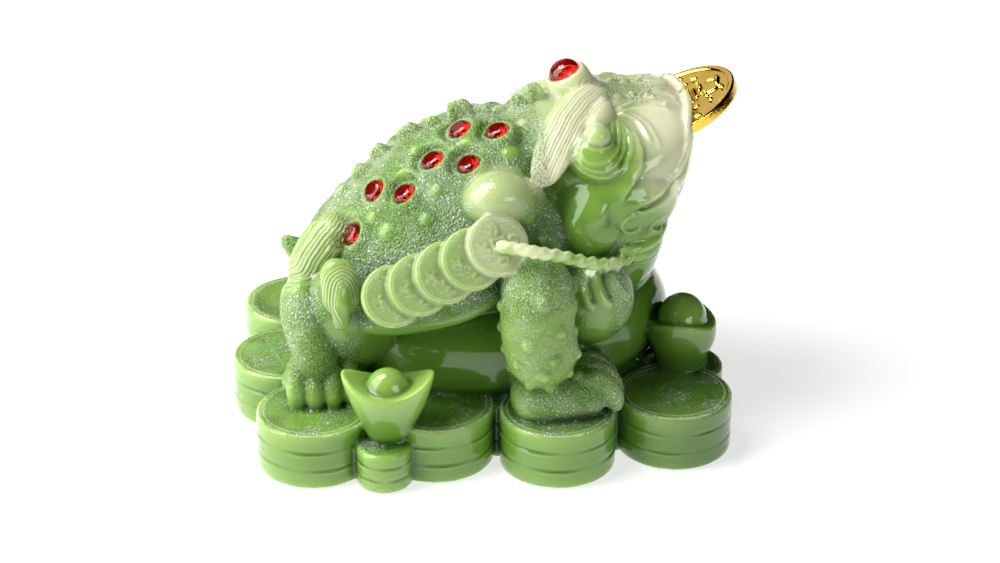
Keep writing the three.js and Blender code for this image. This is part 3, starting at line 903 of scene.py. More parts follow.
@dataclass
class Head:
    """The toad's head, looking up along +X, with its brows, eyes, wide lips and whiskers."""

    eye: tuple = (28.3, -22.7, 88.1)
    eye_radius: float = 3.8
    far_drop: tuple = (-0.5, -2.5, -4.0)
    brow: tuple = (
        (33.5, -4.5, 92), (31, -6.5, 94, 3.6, 2.2, 3), (27, -10.5, 93.4, 5.2, 2.5, 4),
        (22.8, -15, 91.4, 6, 2.3, 4), (19, -20, 88.2, 6, 1.9, 4), (15.8, -24.4, 84.2, 5.4, 1.4, 4),
        (13, -27, 79.6, 4, 0.8, 3), (11.5, -28, 76.6),
    )
    hood: tuple = (
        (32, -8, 93.2), (31.8, -11.5, 92.8, 2.4, 2, 3), (31, -15.5, 91.6, 3, 2, 3),
        (28.8, -18.6, 90.6, 2.6, 1.6, 3), (26.4, -20.5, 89.4),
    )
    eye_folds: tuple = (
        (((24.8, -23.6, 86.4), (26.4, -25.4, 84.8), (29.4, -25.6, 84.6), (32, -23.6, 86.4),
          (33, -20, 88.8), (33.4, -16, 91.2)), 0.75, 0.4),
        (((23, -25.4, 85), (25.4, -27.4, 82.8), (29.8, -27.4, 82.6), (33.4, -25, 85), (34.6, -20.6, 88.2),
          (34.4, -16, 91.2)), 0.75, 0.4),
        (((21.6, -26.6, 83.8), (24.6, -28.8, 81.2), (30, -28.8, 80.9), (34.6, -26.2, 83.8),
          (35.9, -21.2, 87.7), (35, -16.2, 91)), 0.75, 0.35),
        (((20.4, -27.8, 82.2), (23.8, -30, 79.2), (30.2, -30, 78.8), (36, -27.4, 82.4),
          (37.4, -21.8, 87.1), (35.6, -16.4, 90.8)), 0.9, 0.45),
    )
    fan: tuple = (
        (((35, -14.6, 91.7), (38.5, -16, 90.3), (41.2, -19, 88.6), (43, -23.5, 85.2)), 1.1, 1),
        (((35.2, -14, 91.9), (39.5, -14.5, 90.8), (43, -18.5, 88.2), (45.4, -24, 83.4)), 1.6, 0.5),
        (((35, -13.6, 92.2), (40, -9.5, 92.2), (45, -8, 91.8), (49.5, -7, 91.4)), 1.2, 0.8),
        (((35.5, -14, 92), (40.5, -12.3, 91.8), (46.5, -12, 90.6), (51, -13, 88.8)), 1.5, 0.5),
    )
    sheet_edge: tuple = (
        (38.2, -19, 89.2), (39.9, -23.4, 86), (39.9, -27.4, 81.4), (37.4, -29.6, 77.1), (34.6, -30.6, 73.8),
        (33.6, -30.6, 71.6),
    )
    mouth_line: tuple = (
        (57.6, -13.6, 86.9), (55.9, -18, 83.8), (53.3, -21.9, 79.3), (49.8, -24.4, 74.7),
        (45.3, -26.5, 71.6), (39.3, -28.8, 69.9), (36, -29.9, 69.6),
    )
    nostril: tuple = (
        (((53.5, -6.5, 90.3), (51, -4.2, 91.3), (47.6, -4.6, 92.2), (45.8, -7, 91.9), (47.6, -9, 91.3)),
          0.8, 0.75),
        (((54.6, -9.5, 89.2), (51.8, -8, 90.4), (49.4, -9.6, 90.4), (49.2, -12, 89.8)), 0.8, 0.6),
        (((50.5, -1.6, 92.1), (47, -2, 92.7), (43.8, -4.2, 92.8), (42.6, -7.4, 92.3)), 0.9, 0.6),
    )
    beard: tuple = (
        ((47.5, -20.5, 66), (46.5, -24, 61.8, 2, 1.8, 2), (43, -28.5, 58.9, 2.2, 1.8, 2),
         (38, -31.5, 58, 1.9, 1.6, 2), (33, -33, 58.2)),
        ((47.5, -15, 63), (46.4, -20, 58.4, 2.2, 2, 2), (43.5, -26, 55.8, 2.4, 2, 2),
         (39, -30, 55, 2, 1.6, 2), (34, -32, 55.4)),
        ((48.2, -8, 59), (47.2, -15, 55.2, 2.2, 2, 2), (44.6, -21.5, 52.8, 2.4, 2, 2),
         (41, -26, 52, 2, 1.6, 2), (36, -29, 52.4)),
    )
    side_spots: tuple = (
        ("cream", (50, -14, 86), (13, 17, 12), 0.95, 0.45),
        ("cream", (47, -25.5, 76.5), (9, 8, 8.5), 0.75, 0.45),
        ("cream", (14, -8, 90), (9, 9, 6), 0.4, 0.6),
        ("pale", (28, -22, 86), (10, 9, 9), 0.5, 0.4),
        ("pale", (40, -22, 78), (14, 12, 12), 0.4, 0.4),
    )
    middle_spots: tuple = (
        ("cream", (52, 0, 88), (12, 18, 10), 0.9, 0.4),
        ("cream", (25, 0, 96), (8, 9, 8), 0.8, 0.4),
        ("pale", (38, 0, 92), (14, 18, 6), 0.9, 0.4),
        ("cream", (36, -6, 92), (10, 12, 5), 0.6, 0.5),
        ("grain", (41, 0, 92.5), (8, 10, 3.5), 0.9, 0.3),
    )
    snout_warts: tuple = ((37, -6, 91, 1.6), (41, -5, 91.3, 1.4), (34, -2.5, 91.5, 1.5), (45, -6, 91, 1.3))
    brow_grooves: tuple = ((-4.2, -2.2, 0.0, 2.2, 4.2), 0.24, (0.0, 0.1, 0.9, 1.0), (1.2, 0.55, 0.5))
    curls: tuple = (
        (((38, -31, 69), (34.8, -31.6, 67.6), (33.8, -31.4, 65), (35.8, -30.6, 62.8), (38.6, -29.8, 63.6),
          (38.2, -30.4, 65.8)), 0.8, 0.5),
        (((45, -26.4, 66.6), (42.4, -28.2, 65.2), (41.4, -28.4, 62.6), (43.4, -26.8, 61),
          (45, -25.6, 62.6)), 0.8, 0.5),
    )
    lip_rim: tuple = (
        (56.7, 0, 91), (56.3, 8, 90.4), (54.9, 14.5, 89.4), (53.8, 18.6, 85.4), (52.3, 20.5, 80.4),
        (49.5, 24.2, 74), (44.5, 26.6, 68),
    )

    def of_side(self, points: Sequence[Station], side: Side) -> list[list[float]]:
        """Points of a brow or eye, which lie a little lower on the left.

        Args:
            points: points drawn for the right side.
            side: the side that they are wanted on.

        Returns:
            The placed points.
        """
        placed = mirrored(points, side)
        if side is Side.RIGHT:
            return placed
        return [[*(a + b for a, b in zip(p, self.far_drop)), *p[3:]] for p in placed]

    def build(self, clay: Clay) -> None:
        """Adds the head.

        Args:
            clay: what it is added to.
        """
        clay.sweep([
            (4, 0, 66), (8, 0, 68, 18, 18, 20), (18, 0, 71, 23.5, 19.5, 24), (32, 0, 74, 30, 20.5, 25),
            (44, 0, 79, 27, 16, 19), (53.5, 0, 86, 19.5, 8.2, 7.8), (57, 0, 89),
        ], around=64, rings=40)
        clay.sweep([
            (28, 0, 60), (36, 0, 62, 26, 12, 13), (44.2, 0, 66.5, 20, 11.5, 12.5),
            (49.4, 0, 73.2, 14, 8.5, 10.5), (53.6, 0, 79.5),
        ], around=48, rings=32)
        clay.sweep([
            (34, 0, 84), (31, 0, 88, 7, 6, 6), (26, 0, 93.5, 6.8, 6.4, 6), (23.2, 0, 98.3, 5.2, 4.8, 4.8),
            (22.6, 0, 99.2),
        ])
        for side in Side:
            s = -side.value
            clay.sweep(self.of_side(self.brow, side), sideways=(0.84, -0.39 * s, -0.4))
            clay.sweep(self.of_side(self.hood, side), sideways=(0.9, 0.1 * s, -0.3))
            clay.ball(self.of_side([self.eye], side)[0], (self.eye_radius,) * 3)
            clay.ball(self.of_side([(29.2, -20.2, 80.4)], side)[0], (10.6, 9.4, 7.8), (0, 25, 0))
            clay.ball((34.5, -18.0 * s, 69.0), (17.5, 14.6, 14.0), around=48)
            clay.ball((22.6, -24.2 * s, 68.9), (10.8, 10.8, 4.4), (53 * s, -44.4, 0), around=48)
            clay.ball((36.0, -23.0 * s, 60.5), (11.5, 9.0, 8.5))
            clay.ball((33.0, -25.5 * s, 56.8), (9.0, 6.5, 6.0))
            clay.ball((27.0, -25.0 * s, 63.0), (10.0, 8.5, 9.5), (0, -15, 0))
            for strand in self.beard:
                clay.sweep(mirrored(strand, side), around=16, rings=24)
            for x, y, z, size in self.snout_warts:
                clay.ball((x, y * s, z), (size, size, size + 1.2), around=12)
        right = [[x, -y, z] for x, y, z in self.lip_rim][::-1]
        rim = [*right, *[list(p) for p in self.lip_rim[1:]]]
        sizes = [0.0, *[min(2.1, max(1.3, (96.5 - p[2]) / 7)) for p in rim[1:-1]], 0.0]
        clay.sweep([(*p, r) for p, r in zip(rim, sizes)], around=20, rings=60)

    def carve(self, skin: Skin) -> None:
        """Carves the face.

        Args:
            skin: the casting's surface.
        """
        for side in Side:
            for line, width, height in self.eye_folds:
                skin.stroke(self.of_side(line, side), width, height)
            for line, width, height in (*self.fan, *self.nostril, *self.curls):
                skin.stroke(mirrored(line, side), width, height)
            brow = middle_of(self.of_side(self.brow, side))
            skin.grooves(brow, *self.brow_grooves)
        skin.apply()
        for side in Side:
            line = mirrored(self.sheet_edge, side)
            skin.ledge(line[::-1] if side is Side.LEFT else line, 5.0, 0.85)
            lips = mirrored(self.mouth_line, side)
            skin.stroke(lips, 1.0, -0.9)
            for offset, width, height in ((1.9, 0.8, 0.55), (-1.3, 0.9, 0.35)):
                index, _, sideways, place = skin.along(lips, 4.0)
                sideways = sideways * -side.value
                fade = step(place, 0.03, 0.12) * (1 - step(place, 0.85, 0.98))
                beads = 1.0 if offset < 0 else 0.65 + 0.35 * np.cos(place * 2 * np.pi * 34)
                ridge = np.exp(-(((sideways - offset) / width) ** 2))
                skin.lift[index] += height * fade * beads * ridge
        skin.apply()

    def dress(self, skin: Skin) -> None:
        """Marks what is creamy, pale or rough.

        Args:
            skin: the casting's surface.
        """
        for side in Side:
            s = -side.value
            brow = middle_of(self.of_side(self.brow, side))
            skin.paint_line("cream", brow, 7.5, 0.95)
            skin.paint_line("cream", [p[:3] for p in self.of_side(self.hood, side)], 5.0, 0.8)
            skin.hairs(brow, 5.4, 0.9, 0.36)
            skin.paint_line("cream", [(x, -y * s, z) for x, y, z in self.lip_rim[1:6]], 5.5, 0.9)
            skin.paint_ball("cream", self.of_side([self.eye], side)[0], (4.6, 4.6, 4.6), 0.35, 0.25)
        skin.paint(self.side_spots, both=True)
        skin.paint(self.middle_spots)


@dataclass
class Body:
    """Trunk, back and crest."""

    warts: tuple = (
        (-6.1, -11.6, 84.1, 1.9), (5.4, -18, 83.1, 2.6), (-19.7, -6.8, 80.4, 1.8),
        (-23.7, -12.9, 75.8, 1.9), (-15.6, -22, 74.4, 2.6), (-18.8, -25.9, 68, 2),
        (-29.4, -21.9, 63.3, 2.4), (7.5, -31.4, 69.8, 2.2), (-39.5, -12.3, 62, 1.8), (-7.4, -2.5, 88, 1.6),
        (2, -5.5, 88.5, 1.8), (9.5, -9, 88.5, 1.8), (-14, -16.5, 78.5, 1.5), (-33, -16.5, 65.5, 1.6),
        (12.5, -33, 63.5, 1.6), (17, -33, 60.5, 1.8),
    )
    # Painted shade: soft patches on the right flank, low over the base and behind the shoulder ball, turn
    # deeper green.
    shades: tuple = (
        ("painted_shade", (3, -32, 30), (40, 12, 13), 0.45, 0.4),
        ("painted_shade", (-14, -22, 72), (15, 10, 11), 0.32, 0.6),
    )
    crest_blocks: tuple = (
        (15, 0, 95.4, 3.4), (10.4, 0.5, 92, 3), (5.6, 1, 88.8, 3), (0.8, 1.5, 89.2, 3.6),
        (-5.8, 2, 90.6, 6.2), (-13, 2.6, 86.2, 3.4), (-19.8, 3.2, 83.9, 6), (-28, 2, 78.8, 5.2),
        (-33.6, 0.6, 74, 4.6), (-38.4, -0.6, 68.2, 4.6), (-41.6, -2, 61.6, 4.2), (-43, -3.6, 55.6, 3.8),
    )

    def build(self, clay: Clay) -> None:
        """Adds the trunk, the shoulder balls and the crest.

        Args:
            clay: what they are added to.
        """
        clay.sweep([
            (-55, 0, 30), (-51, 0, 30, 13, 10, 11), (-42, 0, 34, 19, 18, 14), (-30, 0, 41, 27, 26, 15),
            (-12, 0, 47, 34, 34.5, 16), (6, 0, 52, 36, 36, 18), (20, 0, 55, 30, 30.5, 18.5),
            (32, 0, 58, 20, 22, 20), (36, 0, 60),
        ], around=64, rings=48)
        clay.ball((3.5, 0, 27), (50, 37, 25.5), around=64)
        clay.ball((31, 0, 48), (20, 25, 18), around=48)
        for y, z in ((-28, 74.5), (25, 72.5)):
            clay.ball((0.8, y, z), (9.2, 8.0, 7.0))
            clay.ball((2.0, y * 0.94, z - 2.0), (12.0, 9.0, 7.2))
        for side in Side:
            hem = mirrored([
                (-42, -26, 40), (-34, -30.5, 40, 3.6, 6.4, 3.6), (-21, -33.5, 42, 3.8, 7, 3.8),
                (-8, -35, 46, 3.8, 7, 3.8), (4, -35, 52),
            ], side)
            clay.sweep(hem)
        for x, y, top, length in self.crest_blocks:
            steep = math.radians(min(70.0, max(8.0, 8.0 - 1.5 * x)))
            back = Vector((math.cos(steep), 0, math.sin(steep)))
            for share in (-0.3, 0.0, 0.3):
                along, size = share * length, 1.1 + 0.18 * length
                at = (x + along * math.cos(steep), y, top - 3.6 + along * math.sin(steep))
                tip = Vector((-math.sin(0.6 * steep), 0, math.cos(0.6 * steep)))
                rows = ((-3.6, 0.0, 0.0), (-1.0, 0.0, 1.0), (1.6, 0.3, 0.74), (4.1, 1.3, 0.0))
                middle = Vector(at)
                point = [(middle + tip * rise - back * lean, size * share) for rise, lean, share in rows]
                clay.sweep([(*place, wide, wide * 1.1, wide) for place, wide in point], (1, 0, 0), 16, 16)

    def carve(self, skin: Skin) -> None:
        """Raises the warts on both flanks."""
        skin.beads(self.warts, 1.45, 0.36)
        skin.apply()

    def dress(self, skin: Skin) -> None:
        """Marks the rough back and its smooth warts and balls, and paints shade low on the right flank and
        behind the shoulder.

        Args:
            skin: the casting's surface.
        """
        x, y, z = skin.points.T
        grain = skin.mask("grain")
        low = 37 + 0.28 * (x + 30)
        front = 13.5 + 0.45 * np.maximum(0.0, 72 - z)
        upwards = step(skin.normals[:, 2] + 0.25 * (z > 50), -0.2, 0.1)
        back = step(z, low - 3, low + 3) * (1 - step(x, front, front + 2.5)) * upwards
        np.maximum(grain, back, out=grain)
        for side in Side:
            for wart in self.warts:
                wx, wy, wz, size = wart
                d = np.linalg.norm(skin.points - (wx, wy * -side.value, wz), axis=1)
                grain *= 0.25 + 0.75 * step(d, size * 0.7, size * 1.2)
                skin.paint_ball("pale", (wx, wy * -side.value, wz), (size,) * 3, 0.5, 0.4)
        for ball in ((0.6, -28, 74.5), (0.6, 25, 72.5)):
            inside = 1 - step(np.linalg.norm(skin.points - ball, axis=1), 8.0, 11.0)
            grain *= 1 - 0.85 * inside
            np.maximum(skin.mask("cream"), 0.4 * inside, out=skin.mask("cream"))
            np.maximum(skin.mask("pale"), 0.8 * inside, out=skin.mask("pale"))
        for x, y, top, length in self.crest_blocks:
            skin.paint_ball("pale", (x, y, top - 1), (3 + length / 2, 4, 4.5), 0.9, 0.4)
            skin.paint_ball("cream", (x, y, top), (3 + length / 2, 4, 4), 0.3, 0.5)
        # Painted shade on the right flank.
        skin.paint(self.shades)


@dataclass
class Legs:
    """Front legs with their flames, the haunches, the one hind leg and the scrolls on it."""

    knobs: tuple = (
        (-0.6, -44, 49.5, 1.7), (-0.4, -43, 43, 1.6), (0.2, -43.5, 36.5, 1.6), (1.2, -44, 30.5, 1.6),
        (5.5, -50, 27, 1.6), (11.5, -51.5, 26, 1.6), (17, -49.5, 30.5, 1.6), (18.4, -48, 36, 1.7),
        (18.6, -46, 41.5, 1.6), (12, -52, 36, 1.5), (9.4, -51.3, 53.1, 2.4), (5.4, -52, 41.5, 2),
        (14, -51.5, 44, 1.7), (9.6, -53, 31.5, 1.9), (3, -50, 35, 1.5), (12, -47.5, 27, 1.7),
        (20, -46.5, 27.5, 1.9), (26.5, -46, 26.5, 1.5),
    )
    notches: tuple = (
        ((21, -38.6, 56.5), (20.8, -40.5, 52.5), (21.4, -41.2, 49), (22.4, -41.6, 46.6)),
        ((25, -38.4, 56.5), (25, -40.4, 52.5), (25.8, -41.2, 49), (26.6, -41.4, 46.4)),
        ((29, -37.4, 56), (29.4, -39.2, 52.5), (30.6, -40, 49), (31.4, -40, 46.4)),
    )
    flames: tuple = (
        ((18.9, -39, 55), (18.9, -40.8, 50.5), (20, -42, 46.5), (23, -42.6, 44)),
        ((23, -39.6, 56), (23.2, -41.6, 51), (24.6, -42.4, 47.5), (27.4, -42.2, 46)),
        ((27.2, -38.9, 56), (27.8, -40.8, 51), (29.4, -41.2, 47.5), (32, -40.4, 46.4)),
        ((31.2, -37, 55), (32.8, -38.4, 50.5), (34.6, -38.2, 47.5), (36.4, -36.8, 47)),
    )
    scroll_line: tuple = (
        (-46.7, -34.8, 44), (-46.8, -34.4, 50.8), (-45.5, -33, 54.6), (-42.6, -31.9, 56.4),
        (-39.7, -31.9, 54.2), (-38.7, -33, 50),
    )
    toe_spread: tuple = (-6.9, -2.3, 2.3, 6.9)
    tuft: tuple = (
        (-39, -10, 62), (-42.5, -12, 60.4, 5.2, 3.2, 5), (-46.5, -14, 57, 6.2, 3.6, 5),
        (-50.5, -16, 51.5, 5.8, 3.4, 5), (-52.6, -17.5, 45.5, 4.2, 3, 4), (-53.4, -18.5, 40),
    )
    arm_spots: tuple = (
        ("grain", (10, -46, 44), (14, 12, 22), 0.5, 0.25),
        ("grain", (20, -42, 22), (18, 16, 9), 1.0, 0.2),
        ("grain", (34, -36, 45), (6, 8, 16), 0.8, 0.3),
        ("pale", (9, -50, 46), (11, 8, 20), 0.7, 0.5),
        ("cream", (27, -41, 51), (9, 7, 8), 0.12, 0.4),
    )
    hind_spots: tuple = (
        ("grain", (-50, -26, 34), (13, 14, 16), 1.0, 0.25),
        ("pale", (-50, -30, 36), (10, 12, 18), 0.5, 0.5),
        ("pale", (-43, -32, 51), (7, 6, 9), 0.8, 0.4),
    )
    rear_point: tuple = (
        (-44, 0, 45), (-48.5, 0, 46.2, 5.6, 5, 5.4), (-53.5, 0, 49.6, 3.4, 3.2, 3.4), (-57, 0, 53.2)
    )
    clefts: tuple = (-7.1, -1.3, 4.3)
    scroll_side: tuple = ((-43, -31, 56), (-43.2, -34.4, 47), (-43.3, -34, 41))
    tuft_grooves: tuple = ((-4.4, -2.2, 0.0, 2.2, 4.4), 0.32, (0.0, 0.15, 0.65, 1.0), (1.0, 0.3, 0.0))

    def front_leg(self, clay: Clay, side: Side) -> None:
        """Adds an arm, its flame and its foot.

        Args:
            clay: what they are added to.
            side: the toad's side.
        """
        s = side.value
        clay.sweep([
            (6, s * 34, 61), (8, s * 38, 57.5, 8.5, 6.5, 6), (9.2, s * 43, 51.5, 10.2, 8, 8),
            (8.8, s * 45, 45, 10.2, 8, 9), (9.2, s * 45.5, 37, 9.6, 7.5, 8.5),
            (10.2, s * 46, 30.5, 8.2, 6.8, 7), (10.6, s * 46, 25),
        ], sideways=(1, 0, 0))
        clay.ball((10, s * 44.5, 50.5), (10.2, 7.4, 7.2), (0, 20, 0))
        clay.ball((5, s * 46, 39), (5.4, 6, 9), (0, -6, 0))
        clay.ball((14.5, s * 46.5, 35.5), (5.2, 5.4, 8.5), (0, 10, 0))
        clay.ball((26.5, s * 32, 43.5), (11, 10, 12.5), (0, 14, 0))
        clay.sweep([
            (2, s * 42, 18), (6, s * 42, 19, 9, 7, 5), (15, s * 41, 20.5, 11.4, 9.4, 6),
            (24.0, s * 39.5, 21.0, 11.8, 9.0, 6), (30.5, s * 39, 19.0),
        ])
        for spread in (-10.0, -4.2, 1.6, 7.0):
            x, y = 25.4 - 0.02 * spread**2, s * (39.8 + spread)
            clay.sweep([
                (x - 7, y - 0.1 * s * spread, 23.5), (x - 3, y, 26.6, 3.0, 2.6, 5),
                (x + 1.6, y + 0.06 * s * spread, 26.0, 3.2, 2.9, 6),
                (x + 5.4, y + 0.08 * s * spread, 22.0, 3.0, 2.7, 5), (x + 6.8, y + 0.08 * s * spread, 16.8),
            ], around=20)

    def hind_quarters(self, clay: Clay) -> None:
        """Adds the haunches, the single hind leg and its foot.

        Args:
            clay: what they are added to.
        """
        clay.ball((-40, -19.5, 37), (16, 12.5, 16.5), (12, -10, 0), around=48)
        clay.ball((-34, 16, 34), (17, 14, 15), (-12, -10, 0), around=48)
        clay.sweep([
            (-50, -17, 50), (-52.5, -20, 45, 6, 6, 6), (-52.5, -24, 39, 6.6, 6.4, 6.4),
            (-51, -27.5, 32.5, 6.2, 6, 6), (-50, -28, 26, 6, 5.6, 5.6), (-50, -27, 17),
        ], sideways=(1, 0, 0))
        clay.ball((-49.0, -25.5, 21.0), (10.8, 8.0, 6.2))
        for i, spread in enumerate(self.toe_spread):
            x, y = -48.6 + spread, -29.6 + 0.02 * spread**2
            rise = 1.2 - 0.5 * abs(i - 1.5)
            clay.sweep([
                (x, y + 5, 25.0 + rise), (x, y + 1.6, 26.0 + rise, 2.7, 2.5, 3),
                (x + 0.05 * spread, y - 2.0, 23.8, 3.0, 2.7, 3),
                (x + 0.08 * spread, y - 3.9, 20.4, 2.9, 2.5, 2.6),
                (x + 0.08 * spread, y - 4.2, 17.6, 2.3, 2.0, 2.0), (x + 0.08 * spread, y - 4.2, 15.4),
            ], sideways=(1, 0, 0), around=20)

    def scrolls(self, clay: Clay) -> None:
        """Adds the grooved tuft, the rolled scroll behind the coins and the point at the rear.

        Args:
            clay: what they are added to.
        """
        clay.sweep(self.tuft, sideways=(0.75, -0.5, -0.45))
        clay.sweep([
            (-41, -28, 58.4), (-42.6, -29.8, 55.6, 5.4, 3, 4), (-43, -31.8, 51.4, 5.2, 2.8, 4),
            (-43, -32.6, 47.5, 4.8, 2.4, 4), (-43, -32.5, 43),
        ], sideways=(1, 0, 0))
        clay.sweep([
            (-42.8, -31, 55.4), (-42.9, -33, 52.5, 2.2, 1.8, 2), (-43.2, -34.4, 47.5, 2.6, 2, 2),
            (-43.3, -34.2, 42.5, 2.2, 1.6, 2), (-43.3, -33.4, 40),
        ], sideways=(1, 0, 0), around=20)
        clay.sweep(self.rear_point)

    def build(self, clay: Clay) -> None:
        """Adds every leg and scroll.

        Args:
            clay: what they are added to.
        """
        for side in Side:
            self.front_leg(clay, side)
        self.hind_quarters(clay)
        self.scrolls(clay)

    def carve(self, skin: Skin) -> None:
        """Carves knobs, flames, the clefts between toes and the tuft's grooves.

        Args:
            skin: the casting's surface.
        """
        skin.beads(self.knobs, 1.3, 0.6)
        for side in Side:
            for lines, width, height in ((self.flames, 2.0, 1.1), (self.notches, 0.9, -1.1)):
                for line in lines:
                    skin.stroke([(x - 1.5, y, z) for x, y, z in mirrored(line, side)], width, height)
            for between in self.clefts:
                y = -(39.8 + between)
                near, far = y - 0.05 * between, y - 0.06 * between
                cleft = ((22.5, y, 27.0), (27.0, near, 27.0), (31.0, far, 23.5), (32.6, far, 18.5))
                skin.stroke(mirrored(cleft, side), 1.1, -2.3)
        skin.grooves(middle_of(self.tuft), *self.tuft_grooves)
        skin.apply()

    def dress(self, skin: Skin) -> None:
        """Marks the rough legs.

        Args:
            skin: the casting's surface.
        """
        skin.paint(self.arm_spots, both=True)
        tuft = middle_of(self.tuft)
        skin.hairs(tuft, 5.5, 1.1, 0.7)
        skin.hairs(self.scroll_line, 2.7, 0.95, 1.6)
        skin.paint(self.hind_spots)
        skin.paint_line("pale", tuft, 6.5, 1.0)
        skin.paint_line("cream", tuft, 6.0, 0.25)
        for line, reach in ((tuft, 8.0), (self.scroll_line, 5.0), (self.scroll_side, 6.0)):
            index, distance, _, _ = skin.along(line, reach)
            skin.mask("grain")[index] *= step(distance, reach * 0.75, reach)


@dataclass
class CoinString:
    """The string of shingled coins on the right flank, and its twisted rope to the corner of the mouth."""

    radius: float = 8.6
    thickness: float = 3.2
    count: int = 5
    lap: float = 0.91
    sag: float = 1.2
    lean: float = 0.13
    start: tuple = (-1.2, -38.6, 65.0)
    way: tuple = (-0.9, -0.013, -0.415)
    out: tuple = (0.06, -0.87, 0.49)
    rope_radius: float = 1.75
    twists: float = 7.5
    rope: tuple = (
        (-1.6, -41.8, 66.3), (2, -43.4, 66.3), (6, -45, 66), (10, -45.2, 65), (15.1, -44, 63.3),
        (20.5, -41.5, 60.5), (26.2, -38, 57.4), (31, -35, 55.6), (35.4, -32.2, 55.6), (39, -29.5, 57.2),
        (41.6, -27.5, 60.5),
    )

    @property
    def face_out(self) -> Vector:
        """The way every coin of the string looks."""
        return (Vector(self.out).normalized() - self.lean * Vector(self.way).normalized()).normalized()

    def centres(self) -> list[Vector]:
        """Where the coins lie.

        Returns:
            Their centres, from the shoulder to the rear.
        """
        way = Vector(self.way).normalized()
        places = []
        for i in range(self.count):
            at = Vector(self.start) + way * (i * self.lap * self.radius)
            at.y -= self.sag * math.sin(math.pi * i / (self.count - 1))
            places.append(at)
        return places

    def build(self, clay: Clay) -> None:
        """Adds the coins, the ridge that carries them and the rope.

        Args:
            clay: what they are added to.
        """
        for at in self.centres():
            clay.drum(at, self.radius, self.thickness, self.face_out, 0.4)
        deep = 0.8 * self.radius
        way, out = Vector(self.way).normalized(), Vector(self.out).normalized()
        ridge = []
        for i, size in ((-0.5, 0), (0, deep), (1, deep), (2, deep), (3, deep), (4, deep), (4.5, 0)):
            at = Vector(self.start) + way * (i * self.lap * self.radius) - out * (deep + 0.6)
            ridge.append((*at, size))
        clay.sweep(ridge)
        line = smooth_line(self.rope, np.linspace(0, 1, 90))
        along = unit(np.gradient(line, axis=0))
        side = unit(np.cross(along, (0.0, 0.0, 1.0)))
        up = np.cross(side, along)
        turns = 2 * math.pi * self.twists * np.linspace(0, 1, len(line))
        for phase in (0.0, math.pi):
            offset = side * np.cos(turns + phase)[:, None] + up * np.sin(turns + phase)[:, None]
            strand = line + offset * self.rope_radius * 0.5
            sizes = [0.0, *[self.rope_radius * 0.66] * (len(line) - 2), 0.0]
            clay.sweep([(*p, s) for p, s in zip(strand, sizes)], around=12, rings=180)

    def carve(self, skin: Skin) -> None:
        """Carves the coins' faces.

        Args:
            skin: the casting's surface.
        """
        out = self.face_out
        above = None
        for at in self.centres():
            face = CoinFace(self.radius, relief=0.55 if above is None else 0.45, turn=20)
            face.carve(skin, at + out * (self.thickness / 2), out, 0.7, under=above)
            above = at + out * (self.thickness / 2)
        skin.apply()

    def dress(self, skin: Skin) -> None:
        """Marks the creamy first coin and rope, and the smooth string.

        Args:
            skin: the casting's surface.
        """
        centres = self.centres()
        grain, cream = skin.mask("grain"), skin.mask("cream")
        for i, at in enumerate(centres):
            offset = skin.points - np.array(at)
            height = offset @ np.array(self.face_out)
            flat = np.linalg.norm(offset - height[:, None] * np.array(self.face_out), axis=1)
            inside = 1 - step(flat, self.radius + 0.1, self.radius + 0.5)
            inside *= 1 - step(np.abs(height), self.thickness * 0.6, self.thickness * 0.8)
            grain *= 1 - inside
            np.maximum(skin.mask("coins"), inside, out=skin.mask("coins"))
            np.maximum(cream, inside * (0.5 if i == 0 else 0.2), out=cream)
            np.maximum(skin.mask("pale"), inside * 0.85, out=skin.mask("pale"))
        index, distance, _, _ = skin.along(self.rope, 3.2)
        grain[index] *= 0.15 + 0.85 * step(distance, 2.4, 3.2)
        skin.paint_line("cream", self.rope[:5], 2.6, 0.9)
        skin.paint_line("cream", self.rope[4:8], 2.6, 0.45)
        skin.paint_line("pale", self.rope, 2.6, 0.8)


